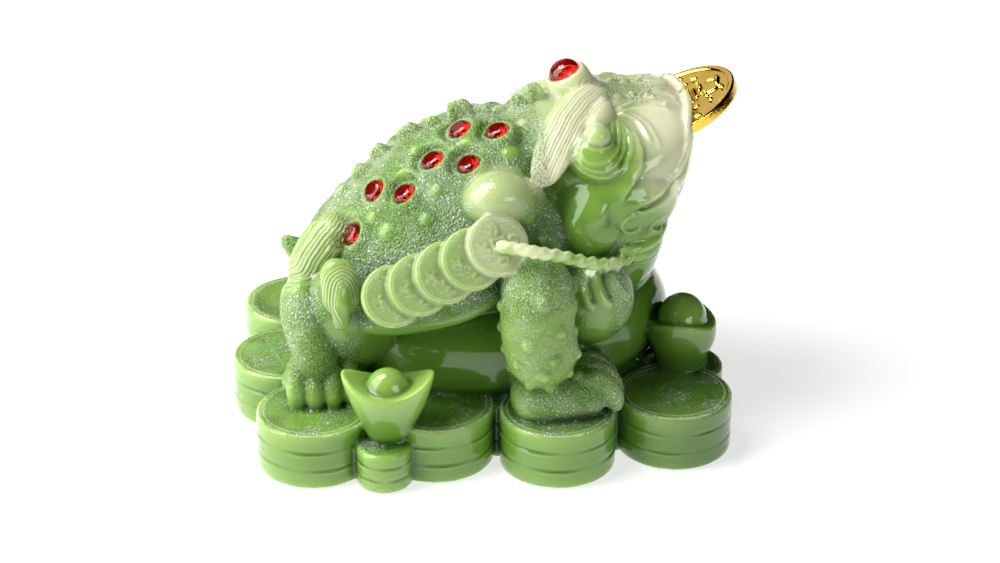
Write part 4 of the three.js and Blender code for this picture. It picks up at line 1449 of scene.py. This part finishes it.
@dataclass
class Casting:
    """The figure's one casting: toad, base, ingots and string of coins in a single skin."""

    base: Base = field(default_factory=Base)
    body: Body = field(default_factory=Body)
    head: Head = field(default_factory=Head)
    legs: Legs = field(default_factory=Legs)
    string: CoinString = field(default_factory=CoinString)
    fine_voxel: float = 0.5
    rough_voxel: float = 0.8
    softening: int = 3
    ingot_shift: tuple = (1.6, 2.4)
    triangles: int = 195000
    plain_detail: float = 0.25
    hollow_rounds: int = 10
    full_spaces: tuple = ((2.0, 1.6), (6.0, 2.4))

    def model(self) -> Piece:
        """Models the forms and joins them.

        Returns:
            The uncarved casting, in millimetres.
        """
        clay = Clay()
        base = self.base
        for part in (base, self.body, self.head, self.legs, self.string):
            part.build(clay)
        x, y = base.centre(base.small)
        at, low = (x + self.ingot_shift[0], y + self.ingot_shift[1]), base.small_height + 0.6
        Ingot(at, low, 25.2, 15.5, 5.4, 6.0, -8, ball_rise=0.97, waist=0.42).build(clay)
        at, low = base.centre(base.bowl), base.height
        Ingot(at, low, 19.5, 13.5, 3.0, 7.9, 74, ball_rise=1.0, breadth=1.0, waist=0.7).build(clay)
        return clay.skin(self.fine_voxel, self.softening)

    def seats(self, skin: Skin) -> None:
        """Shapes the seats of the stones.

        Args:
            skin: the casting's surface.
        """
        stones, crown = CutStones(), CrownStone()
        for at, out in stones.seats:
            skin.pocket(at, out, stones.seat_height, stones.radius + 3.3)
        skin.pocket(crown.at, crown.out, crown.seat_height, crown.radius + 3.0)
        skin.refresh()

    def slot(self, piece: Piece) -> None:
        """Cuts the slot of the mouth coin.

        Args:
            piece: the casting.
        """
        coin = MouthCoin()
        wide, thick = coin.radius + coin.clearance, coin.thickness + 2 * coin.clearance
        cutter = Clay().drum(coin.centre, wide, thick, coin.out, 0.2)
        finish_modifier(piece, "BOOLEAN", operation="DIFFERENCE", object=cutter, solver="MANIFOLD")
        bpy.data.objects.remove(cutter)

    def finish(self) -> Piece:
        """Models, carves and dresses the casting.

        Returns:
            The casting, in millimetres.
        """
        piece = self.model()
        skin = Skin(piece)
        parts = (self.base, self.body, self.legs, self.head, self.string)
        for part in parts:
            part.carve(skin)
        self.seats(skin)
        for part in parts:
            part.dress(skin)
        hollow = skin.hollowness(self.hollow_rounds)
        small, large = (skin.fullness(reach, cell) for reach, cell in self.full_spaces)
        # Painted shade: hollows and places crowded round by solid are marked to turn deeper green.
        painted_shade = np.maximum(step(hollow, 0.2, 1.0) * 0.5, step(small, 0.54, 0.75) * 0.8)
        painted_shade = np.maximum(painted_shade, 0.85 * step(large, 0.52, 0.8))
        np.maximum(painted_shade, skin.mask("painted_shade"), out=skin.mask("painted_shade"))
        # Painted light: narrow, proud parts and sharp edges are marked to glow paler, as if lit through.
        thin = np.maximum(step(-small, -0.48, -0.2), 0.8 * step(-large, -0.46, -0.15))
        thin = np.maximum(thin, step(-hollow, 0.2, 0.9) * 0.5)
        skin.masks["thin"] = thin * (1 - 0.7 * skin.mask("coins"))
        hidden = np.maximum(step(skin.points[:, 1], 4, 14), 1 - step(skin.points[:, 2], 1, 3))
        hidden = self.plain_detail + (1 - self.plain_detail) * hidden > 0.6
        skin.store()
        group = piece.vertex_groups.new(name="plain")
        for level, chosen in ((self.plain_detail, ~hidden), (1.0, hidden)):
            group.add(np.nonzero(chosen)[0].tolist(), level, "REPLACE")
        ratio = self.triangles / (2 * len(piece.data.polygons))
        finish_modifier(piece, "DECIMATE", ratio=ratio, vertex_group="plain", vertex_group_factor=1.0)
        self.slot(piece)
        return piece


@dataclass
class MouthCoin:
    """The gilt coin in the mouth."""

    drawn_x = 55.4
    bars: tuple = (
        (-3.6, 5.6, 7.2), (-5.2, 7.9, 4), (1.6, 8.3, 3.8), (-4.6, 13.4, 3.4), (2, 13.2, 2.8),
        (6.6, 8.6, 1.8),
    )
    radius: float = 17.5
    thickness: float = 3.0
    rim_width: float = 1.7
    field_drop: float = 0.5
    hole: float = 6.4
    centre: tuple = (55.4, 0.0, 86.3)
    tilt: float = 26.7
    clearance: float = 0.3

    @property
    def out(self) -> Vector:
        """The way its upper face looks."""
        angle = math.radians(self.tilt)
        return Vector((-math.sin(angle), 0, math.cos(angle)))

    def model(self) -> Piece:
        """Models the coin with its rims, square hole and relief.

        Returns:
            The coin, in the frame.
        """
        clay = Clay()
        disc = clay.drum((0, 0, 0), self.radius, self.thickness, (0, 0, 1), 0.35)
        clear_selection()
        bpy.ops.mesh.primitive_cube_add(size=1.0)
        cutter = bpy.context.object
        cutter.data.transform(Matrix.Diagonal((self.hole, self.hole, 3 * self.thickness, 1.0)))
        finish_modifier(disc, "BOOLEAN", operation="DIFFERENCE", object=cutter, solver="EXACT")
        bpy.data.objects.remove(cutter)
        finish_modifier(disc, "REMESH", mode="VOXEL", voxel_size=0.22)
        skin = Skin(disc)
        x, y = skin.points[:, :2].T
        flat = step(np.abs(skin.normals[:, 2]), 0.7, 0.95)
        r = np.hypot(x, y)
        inner = self.radius - self.rim_width
        square = np.maximum(np.abs(x), np.abs(y)) - self.hole / 2
        field_floor = (1 - step(r, inner - 0.3, inner + 0.3)) * step(square, 1.0, 1.5)
        skin.lift -= self.field_drop * flat * field_floor
        skin.apply()
        for face in (1, -1):
            level = face * (self.thickness / 2 - self.field_drop)
            for quarter in range(4):
                turn = Matrix.Rotation(math.radians(90 * quarter), 3, "Z")
                for mark in MARKS[(quarter + (face < 0) * 2) % 4]:
                    places = [turn @ Vector((a * 4.6, 9.6 + b * 4.2, level)) for a, b in mark]
                    skin.stroke([tuple(p) for p in places], 0.75, 0.6, 12)
                for x, y, length in self.bars:
                    places = [turn @ Vector((x + length * t, y, level)) for t in (0.0, 0.5, 1.0)]
                    skin.stroke([tuple(p) for p in places], 0.65, 0.55, 12)
        skin.apply()
        disc.data.transform(facing(self.centre, self.out))
        finish_modifier(disc, "DECIMATE", ratio=0.5)
        to_frame(disc, "gilt_mouth_coin")
        return disc


def back_with_foil(stone: Piece, below: float) -> None:
    """Gives the faces of a stone that lie below a height its second material."""
    for face in stone.data.polygons:
        face.material_index = int(face.center.z < below)


@dataclass
class CutStones:
    """The seven foil-backed cut stones on the back."""

    radius: float = 3.2
    crown: float = 1.2
    pavilion: float = 1.5
    girdle: float = 0.4
    facets: int = 12
    seats: tuple = (
        ((2.7, -10.1, 86.1), (-0.32, -0.14, 0.94)),
        ((-7, -5, 85), (-0.5, -0.14, 0.86)),
        ((-6.4, -18.1, 80.2), (-0.41, -0.24, 0.88)),
        ((-15.6, -12.8, 79.6), (-0.49, -0.17, 0.86)),
        ((-23.9, -17.1, 72.1), (-0.55, -0.2, 0.81)),
        ((-31.6, -10.2, 70.4), (-0.69, -0.32, 0.65)),
        ((-38.4, -15.6, 60.2), (-0.76, -0.28, 0.58)),
    )

    def seat_height(self, r: np.ndarray) -> np.ndarray:
        """Height of a seat over the girdle's plane: a cone below the stone and a small rim round it.

        Args:
            r: distances from its axis.

        Returns:
            A height for each.
        """
        wide = self.radius + 0.3
        cone = -(self.pavilion + 0.3) * (1 - np.minimum(r / wide, 1.0)) - 0.35
        return np.where(r < wide, cone, 0.45 * np.exp(-(((r - wide - 0.55) / 0.6) ** 2)) - 0.25)

    def model(self, number: int) -> Piece:
        """Models one stone: table, two rows of crown facets, girdle and a cone below.

        Args:
            number: which one, from 0.

        Returns:
            The stone, in the frame.
        """
        n, r = self.facets, self.radius
        clear_selection()
        bpy.ops.mesh.primitive_circle_add(vertices=n, radius=r * 0.3, fill_type="NGON")
        stone = bpy.context.object
        rings = (
            (r / (r * 0.3), self.pavilion - self.girdle / 2, 0.0), (1.0, self.girdle, 0.0),
            (0.8, self.crown * 0.6, math.pi / n),
            (0.62 / 0.8, self.crown * 0.4 - self.girdle / 2, math.pi / n),
        )
        stone.data.transform(Matrix.Translation((0, 0, -self.pavilion)))
        bpy.ops.object.mode_set(mode="EDIT")
        bpy.ops.mesh.select_all(action="SELECT")
        for scale, rise, turn in rings:
            bpy.ops.mesh.extrude_region_move(TRANSFORM_OT_translate={"value": (0, 0, rise)})
            bpy.ops.transform.resize(value=(scale, scale, 1.0))
        bpy.ops.object.mode_set(mode="OBJECT")
        points = read_points(stone)
        height = points[:, 2]
        middle = (height > self.girdle) & (height < self.crown - 0.1)
        turn = np.array(Matrix.Rotation(math.pi / n, 3, "Z"))
        points[middle] = points[middle] @ turn.T / math.cos(math.pi / n)
        write_points(stone, points)
        finish_modifier(stone, "TRIANGULATE")
        face_outwards(stone)
        back_with_foil(stone, -self.girdle)
        stone.data.transform(facing(*self.seats[number]))
        to_frame(stone, f"cut_stone_{number + 1}")
        return stone


@dataclass
class CrownStone:
    """The domed stone on the crown."""

    radius: float = 4.4
    height: float = 3.55
    seat: float = 1.4
    at: tuple = (22.9, 0.0, 98.2)
    out: tuple = (-0.43, 0.0, 0.9)

    def seat_height(self, r: np.ndarray) -> np.ndarray:
        """Heights of the seat over the dome's foot, for distances from its axis."""
        wide = self.radius + 0.3
        return np.where(r < wide, -self.seat - 0.3, 0.3 - 0.25 * (r - wide))

    def model(self) -> Piece:
        """Models the dome on its low drum.

        Returns:
            The stone, in the frame.
        """
        clear_selection()
        bpy.ops.mesh.primitive_uv_sphere_add(segments=48, ring_count=32, radius=1.0)
        stone = bpy.context.object
        points = read_points(stone)
        flat = np.hypot(points[:, 0], points[:, 1])
        below = points[:, 2] < 0
        out = np.where(below, np.minimum(1.0, flat * 1.25), flat) / np.maximum(flat, TINY)
        deep = np.where(flat > 0.8, points[:, 2] / 0.6, -1.0)
        points[:, :2] *= (out * self.radius)[:, None]
        points[:, 2] = np.where(below, self.seat * np.maximum(deep, -1.0), points[:, 2] * self.height)
        write_points(stone, points)
        face_outwards(stone)
        back_with_foil(stone, -self.seat * 0.9)
        stone.data.transform(facing(self.at, self.out))
        to_frame(stone, "crown_dome_stone")
        return stone


def mottle_group() -> bpy.types.NodeTree:
    """A cloudy value that drifts over a surface.

    Returns:
        The node group, with inputs Scale, Detail, Low and High, and output Value.
    """
    name = "cloudy_drift"
    if name in bpy.data.node_groups:
        return bpy.data.node_groups[name]
    tree = bpy.data.node_groups.new(name, "ShaderNodeTree")
    for label, value in (("Scale", 40.0), ("Detail", 3.0), ("Low", 0.35), ("High", 0.65)):
        socket = tree.interface.new_socket(label, in_out="INPUT", socket_type="NodeSocketFloat")
        socket.default_value = value
    tree.interface.new_socket("Value", in_out="OUTPUT", socket_type="NodeSocketFloat")
    start, end = tree.nodes.new("NodeGroupInput"), tree.nodes.new("NodeGroupOutput")
    place = tree.nodes.new("ShaderNodeTexCoord")
    noise = tree.nodes.new("ShaderNodeTexNoise")
    spread = tree.nodes.new("ShaderNodeMapRange")
    tree.links.new(place.outputs["Object"], noise.inputs["Vector"])
    tree.links.new(start.outputs["Scale"], noise.inputs["Scale"])
    tree.links.new(start.outputs["Detail"], noise.inputs["Detail"])
    tree.links.new(noise.outputs["Fac"], spread.inputs["Value"])
    tree.links.new(start.outputs["Low"], spread.inputs["From Min"])
    tree.links.new(start.outputs["High"], spread.inputs["From Max"])
    tree.links.new(spread.outputs["Result"], end.inputs["Value"])
    return tree


class Shader:
    """A material under construction, with short ways to add its nodes."""

    def __init__(self, name: str) -> None:
        """Starts a material.

        Args:
            name: its name.
        """
        self.material = bpy.data.materials.new(name)
        self.material.use_nodes = True
        self.nodes = self.material.node_tree.nodes
        self.links = self.material.node_tree.links
        self.main = self.nodes["Principled BSDF"]
        self.place = self.nodes.new("ShaderNodeTexCoord").outputs["Object"]

    def set(self, **values: object) -> None:
        """Sets plain values on the main shader; an underscore stands for a space."""
        for name, value in values.items():
            self.main.inputs[name.replace("_", " ")].default_value = value

    def feed(self, name: str, output: Socket) -> None:
        """Links an output to an input of the main shader."""
        self.links.new(output, self.main.inputs[name])

    def mottle(self, scale: float, detail: float, low: float, high: float) -> Socket:
        """A cloudy value.

        Args:
            scale: how fine it is.
            detail: how many finer layers it has.
            low: the noise that becomes 0.
            high: the noise that becomes 1.

        Returns:
            The output that carries it.
        """
        group = self.nodes.new("ShaderNodeGroup")
        group.node_tree = mottle_group()
        for label, value in (("Scale", scale), ("Detail", detail), ("Low", low), ("High", high)):
            group.inputs[label].default_value = value
        return group.outputs["Value"]

    def attribute(self, name: str) -> Socket:
        """Reads a mask that was painted on the piece.

        Args:
            name: the mask.

        Returns:
            The output that carries it.
        """
        node = self.nodes.new("ShaderNodeAttribute")
        node.attribute_name = name
        return node.outputs["Fac"]

    def give(self, socket: Socket, value: object) -> None:
        """Links or sets an input.

        Args:
            socket: the input.
            value: an output or a plain value.
        """
        if isinstance(value, Socket):
            self.links.new(value, socket)
        else:
            socket.default_value = value

    def mix(self, share: object, low: object, high: object) -> Socket:
        """A colour between two.

        Args:
            share: how much of the second one, a number or an output.
            low: the first colour, or an output.
            high: the second colour, or an output.

        Returns:
            The output that carries it.
        """
        node = self.nodes.new("ShaderNodeMix")
        node.data_type = "RGBA"
        for socket, value in ((node.inputs[0], share), (node.inputs[6], low), (node.inputs[7], high)):
            self.give(socket, value)
        return node.outputs[2]

    def math(self, kind: str, first: object, second: object = 0.0) -> Socket:
        """A function of two values.

        Args:
            kind: the function, as the math node names it.
            first: a number or an output.
            second: a number or an output.

        Returns:
            The output that carries it.
        """
        node = self.nodes.new("ShaderNodeMath")
        node.operation = kind
        for socket, value in zip(node.inputs, (first, second)):
            self.give(socket, value)
        return node.outputs[0]

    def times(self, first: object, second: object) -> Socket:
        """The product of two values."""
        return self.math("MULTIPLY", first, second)

    def plus(self, first: object, second: object) -> Socket:
        """The sum of two values."""
        return self.math("ADD", first, second)

    def larger(self, first: object, second: object) -> Socket:
        """The larger of two values."""
        return self.math("MAXIMUM", first, second)

    def spread(self, value: Socket, low: float, high: float, a: float, b: float) -> Socket:
        """A value brought from one range to another.

        Args:
            value: the output that carries it.
            low: where its range starts.
            high: where its range ends.
            a: what low becomes.
            b: what high becomes.

        Returns:
            The output that carries the new value.
        """
        node = self.nodes.new("ShaderNodeMapRange")
        self.links.new(value, node.inputs["Value"])
        for label, number in (("From Min", low), ("From Max", high), ("To Min", a), ("To Max", b)):
            node.inputs[label].default_value = number
        return node.outputs["Result"]

    def texture(self, kind: str, **values: float) -> bpy.types.Node:
        """Adds a pattern on object coordinates.

        Args:
            kind: Noise or Voronoi.
            **values: its plain inputs.

        Returns:
            Its node.
        """
        node = self.nodes.new("ShaderNodeTex" + kind)
        for name, value in values.items():
            node.inputs[name].default_value = value
        self.links.new(self.place, node.inputs["Vector"])
        return node

    def noise(self, scale: float, detail: float) -> Socket:
        """Plain noise; detail is its number of finer layers."""
        return self.texture("Noise", Scale=scale, Detail=detail).outputs["Fac"]

    def bump(self, height: Socket, distance: float, strength: float = 1.0) -> None:
        """Feeds a height to the main shader's normal.

        Args:
            height: the output that carries it.
            distance: how far a height of 1 stands out, in metres.
            strength: how much of it is used.
        """
        node = self.nodes.new("ShaderNodeBump")
        node.inputs["Distance"].default_value = distance
        node.inputs["Strength"].default_value = strength
        self.links.new(height, node.inputs["Height"])
        self.feed("Normal", node.outputs["Normal"])


@dataclass(frozen=True)
class Jade:
    """Polished imitation jade: cloudy green resin, sugary where it is left rough. Its colour also carries
    painted light and shade: paler towards the top, the left and on narrow, proud parts, deeper green in
    hollows, between grains and on the base's right side, with painted glints on the grain and painted
    highlights on coin rims and fine grooves.
    """

    # Deep green for painted shade in hollows, between the grains and on the base's right side.
    deep: tuple = (0.012, 0.08, 0.003, 1.0)
    green: tuple = (0.085, 0.235, 0.012, 1.0)
    # A paler green that the cloudy drift, the painted pale spots and the painted light all turn towards.
    pale: tuple = (0.34, 0.52, 0.12, 1.0)
    cream: tuple = (0.78, 0.78, 0.54, 1.0)
    # White of the grain's frosty haze and of its painted glints.
    frost_and_glint: tuple = (0.9, 0.96, 0.84, 1.0)
    grain_size: float = 1500.0
    grain_height: float = 0.0004

    def rings(self, s: Shader) -> Socket:
        """Thin rims on the coins' faces.

        Args:
            s: the material under construction.

        Returns:
            The output that carries them.
        """
        ring = s.attribute("ring")
        lines = None
        for at, half in ((0.965, 0.026), (0.87, 0.018)):
            away = s.math("ABSOLUTE", s.math("SUBTRACT", ring, at))
            line = s.spread(away, 0.0, half, 1.0, 0.0)
            lines = line if lines is None else s.larger(lines, line)
        return s.times(lines, s.attribute("struck"))

    def painted_glints(self, s: Shader) -> Socket:
        """Painted glints: bright points that stand for light caught by the sugary grain, where a few of many
        small cells are chosen.

        Args:
            s: the material under construction.

        Returns:
            The output that carries them.
        """
        points = None
        for scale, chosen in ((1150.0, 0.74), (1900.0, 0.66)):
            cell = s.texture("Voronoi", Scale=scale)
            chance = s.nodes.new("ShaderNodeSeparateColor")
            s.links.new(cell.outputs["Color"], chance.inputs[0])
            lit = s.spread(chance.outputs[0], chosen, chosen + 0.15, 0.0, 1.0)
            dot = s.spread(cell.outputs["Distance"], 0.2, 0.42, 1.0, 0.0)
            point = s.times(lit, dot)
            points = point if points is None else s.larger(points, point)
        return s.times(points, 0.6)

    def material(self) -> bpy.types.Material:
        """Builds the material.

        Returns:
            The material.
        """
        s = Shader("imitation_jade")
        s.set(IOR=1.5, Subsurface_Weight=0.7, Subsurface_Scale=0.005, Coat_Roughness=0.03)
        s.main.inputs["Subsurface Radius"].default_value = (0.6, 1.0, 0.25)
        rings, grain = self.rings(s), s.attribute("grain")
        height = s.nodes.new("ShaderNodeSeparateXYZ")
        s.links.new(s.place, height.inputs[0])
        # Painted light: the colour grows paler with height and towards the left, where the key light falls.
        rise = s.spread(height.outputs["Z"], 0.0, 0.1, 0.0, 0.3)
        left = s.spread(height.outputs["X"], 0.02, -0.07, 0.0, 0.12)
        # Painted shadow: the low right-hand part of the base turns deeper green.
        right = s.spread(height.outputs["X"], 0.02, 0.06, 0.0, 0.6)
        thick = s.times(right, s.spread(height.outputs["Z"], 0.02, 0.04, 1.0, 0.0))
        cloud = s.times(s.mottle(28.0, 3.0, 0.25, 0.75), 0.3)
        # Painted light: narrow and proud parts glow paler, as if lit through.
        thin = s.times(s.attribute("thin"), 0.75)
        share = s.plus(s.plus(rise, cloud), s.plus(thin, left))
        colour = s.mix(share, self.green, self.pale)
        colour = s.mix(s.times(s.attribute("pale"), 0.6), colour, self.pale)
        # Painted shade and shadow: deeper green in hollows and on the base's right side.
        colour = s.mix(s.larger(s.attribute("painted_shade"), thick), colour, self.deep)
        colour = s.mix(s.attribute("cream"), colour, self.cream)
        # Painted highlight: the coins' rim lines are drawn cream, besides being raised in the bump.
        colour = s.mix(s.times(rings, 0.8), colour, self.cream)
        wave = s.math("SINE", s.times(s.attribute("across"), 2 * math.pi))
        hairs = s.times(wave, s.attribute("fine"))
        # Painted highlight: the crests of the fine grooves are drawn cream.
        colour = s.mix(s.spread(hairs, 0.3, 1.6, 0.0, 0.85), colour, self.cream)
        cells = s.texture("Voronoi", Scale=self.grain_size).outputs["Distance"]
        # Painted shade between the grains: the cells' edges turn deep green.
        pit_shade = s.times(s.spread(cells, 0.3, 0.75, 0.18, 0.55), grain)
        colour = s.mix(pit_shade, colour, self.deep)
        clusters = s.mottle(95.0, 2.0, 0.42, 0.6)
        # A whitish haze over the grain in clusters, partly its frosty tone and partly painted sheen.
        veil = s.times(s.times(grain, clusters), 0.12)
        colour = s.mix(veil, colour, self.frost_and_glint)
        # Painted glints, strewn over the grain in clusters and over the coins' faces.
        strewn = s.times(grain, s.spread(clusters, 0.0, 1.0, 0.45, 1.3))
        on_coins = s.times(s.attribute("struck"), s.times(clusters, 0.5))
        strewn = s.plus(strewn, on_coins)
        sparkle = s.times(self.painted_glints(s), strewn)
        colour = s.mix(sparkle, colour, self.frost_and_glint)
        s.feed("Base Color", colour)
        s.feed("Roughness", s.spread(grain, 0.0, 1.0, 0.1, 0.18))
        s.feed("Coat Weight", s.spread(grain, 0.0, 0.5, 0.4, 0.0))
        grains = s.times(s.math("SUBTRACT", 0.6, cells), grain)
        struck = s.times(s.times(s.noise(1000.0, 2.0), 0.6), s.attribute("struck"))
        rough = s.plus(grains, s.plus(s.times(hairs, 0.5), struck))
        s.bump(s.plus(rough, s.times(rings, 0.6)), self.grain_height)
        return s.material


@dataclass(frozen=True)
class Gilt:
    """Polished gold plating."""

    colour: tuple = (1.0, 0.68, 0.12, 1.0)
    shade: tuple = (0.95, 0.55, 0.06, 1.0)

    def material(self) -> bpy.types.Material:
        """Builds the material.

        Returns:
            The material.
        """
        s = Shader("gilt_metal")
        s.set(Metallic=1.0)
        cloud = s.mottle(220.0, 4.0, 0.35, 0.65)
        s.feed("Base Color", s.mix(cloud, self.shade, self.colour))
        s.feed("Roughness", s.spread(cloud, 0.0, 1.0, 0.06, 0.14))
        s.bump(s.noise(1500.0, 4.0), 0.00004)
        return s.material


@dataclass(frozen=True)
class RedGlass:
    """Clear red glass."""

    colour: tuple = (0.85, 0.03, 0.02, 1.0)
    shade: tuple = (0.7, 0.02, 0.015, 1.0)

    def material(self) -> bpy.types.Material:
        """Builds the material.

        Returns:
            The material.
        """
        s = Shader("red_glass")
        s.set(Transmission_Weight=0.9, IOR=1.6, Roughness=0.03, Base_Color=self.colour)
        s.feed("Base Color", s.mix(s.mottle(300.0, 2.0, 0.3, 0.7), self.colour, self.shade))
        return s.material


@dataclass(frozen=True)
class Foil:
    """The bright foil behind a stone."""

    colour: tuple = (1.0, 0.8, 0.75, 1.0)
    shade: tuple = (1.0, 0.5, 0.45, 1.0)

    def material(self) -> bpy.types.Material:
        """Builds the material.

        Returns:
            The material.
        """
        s = Shader("stone_foil")
        s.set(Metallic=1.0, Roughness=0.12)
        s.feed("Base Color", s.mix(s.mottle(900.0, 2.0, 0.3, 0.7), self.shade, self.colour))
        return s.material


@dataclass
class Studio:
    """Plain pale floor, soft lights and the camera."""

    target: tuple = (0.7, -30.2, 50.0)
    elevation: float = 26.5
    turn: float = -8.0
    distance: float = 640.0
    mm_per_pixel: float = 0.273
    width_px: int = 1000
    room: float = 0.5
    room_seen: float = 0.15
    aim: tuple = (0.0, 0.0, 50.0)
    sensor: float = 36.0
    floor_greys: tuple = ((0.5, 0.5, 0.5, 1.0), (0.52, 0.52, 0.52, 1.0))
    floor_glow: float = 0.68
    softboxes: tuple = (
        ("left_softbox", (-860, -60, 440), (900, 1050), 12.6),
        ("front_softbox", (420, -760, 330), (520, 300), 1.9),
        ("top_softbox", (-380, 40, 820), (460, 460), 6.6),
        ("rear_softbox", (-250, 820, 360), (700, 400), 0.55),
    )

    def camera(self) -> None:
        """Sets up the camera."""
        e, a = math.radians(self.elevation), math.radians(self.turn)
        back = Vector((math.sin(a) * math.cos(e), -math.cos(a) * math.cos(e), math.sin(e)))
        right = Vector((math.cos(a), math.sin(a), 0))
        up = back.cross(right)
        place = (Vector(self.target) + back * self.distance) * MM + drawing_shift()
        data = bpy.data.cameras.new("studio_camera")
        data.sensor_width = self.sensor
        data.lens = self.sensor * self.distance / self.mm_per_pixel / self.width_px
        data.clip_start = 0.01
        camera = bpy.data.objects.new("studio_camera", data)
        turn = Matrix((right, up, back)).transposed().to_4x4()
        camera.matrix_world = Matrix.Translation(place) @ turn
        bpy.context.scene.collection.objects.link(camera)
        bpy.context.scene.camera = camera

    def softbox(self, name: str, at: Point, size: Point, power: float) -> None:
        """A rectangular soft light that looks at the figure.

        Args:
            name: its name.
            at: its place, in millimetres.
            size: its width and height, in millimetres.
            power: its power in watts.
        """
        data = bpy.data.lights.new(name, "AREA")
        data.shape = "RECTANGLE"
        data.size, data.size_y = size[0] * MM, size[1] * MM
        data.energy = power
        light = bpy.data.objects.new(name, data)
        place = Vector(at) * MM
        light.location = place
        light.rotation_euler = (Vector(self.aim) * MM - place).to_track_quat("-Z", "Y").to_euler()
        bpy.context.scene.collection.objects.link(light)

    def surroundings(self, world: bpy.types.World) -> None:
        """A pale room that polished faces see as a darker one.

        Args:
            world: the world that it is set up in.
        """
        nodes, links = world.node_tree.nodes, world.node_tree.links
        room = nodes["Background"]
        room.inputs["Color"].default_value = (1, 1, 1, 1)
        path = nodes.new("ShaderNodeLightPath")
        level = nodes.new("ShaderNodeMapRange")
        level.inputs["To Min"].default_value = self.room
        level.inputs["To Max"].default_value = self.room_seen
        links.new(path.outputs["Is Glossy Ray"], level.inputs["Value"])
        links.new(level.outputs["Result"], room.inputs["Strength"])

    def build(self) -> None:
        """Builds the floor, the lights and the camera."""
        bpy.ops.mesh.primitive_plane_add(size=6.0, location=(0, 0, -0.0002))
        floor = bpy.context.object
        floor.name = "studio_floor"
        s = Shader("studio_floor")
        s.set(Roughness=0.9)
        cloud = s.mottle(3.0, 2.0, 0.3, 0.7)
        s.feed("Base Color", s.mix(cloud, *self.floor_greys))
        s.main.inputs["Emission Color"].default_value = (1, 1, 1, 1)
        s.set(Emission_Strength=self.floor_glow)
        floor.data.materials.append(s.material)
        world = bpy.data.worlds.new("studio_world")
        world.use_nodes = True
        self.surroundings(world)
        for name, at, size, power in self.softboxes:
            self.softbox(name, at, size, power)
        bpy.context.scene.view_settings.view_transform = "Standard"
        self.camera()


def dress(piece: Piece, slot: str, nodes: Sequence[str], *finishes: bpy.types.Material) -> None:
    """Gives a piece its materials and its place in the model.

    Args:
        piece: the finished piece.
        slot: the name of its material slot; not used.
        nodes: the nodes of the solids that it replaces.
        *finishes: its materials, in the order of its faces' numbers.
    """
    piece.data.materials.clear()
    for material in finishes:
        piece.data.materials.append(material)
    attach(piece, BODY)
    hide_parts(*nodes)
    log.info("%s: %d faces", piece.name, len(piece.data.polygons))


def main() -> None:
    """Builds every piece and dresses it."""
    jade, gilt, glass, foil = (finish.material() for finish in (Jade(), Gilt(), RedGlass(), Foil()))
    casting = Casting().finish()
    to_frame(casting, "jade_casting")
    casting.data.polygons.foreach_set("use_smooth", [True] * len(casting.data.polygons))
    dress(casting, "imitation_jade", ["toad_casting"], jade)
    coin = MouthCoin().model()
    coin.data.polygons.foreach_set("use_smooth", [True] * len(coin.data.polygons))
    dress(coin, "gold_coin", ["mouth_coin"], gilt)
    stones = CutStones()
    for number in range(len(stones.seats)):
        dress(stones.model(number), "red_stone", [f"back_stone_{number + 1}"], glass, foil)
    crown = CrownStone().model()
    dress(crown, "red_stone", ["crown_cabochon"], glass, foil)
    Studio().build()


if __name__ == "__main__":
    main()
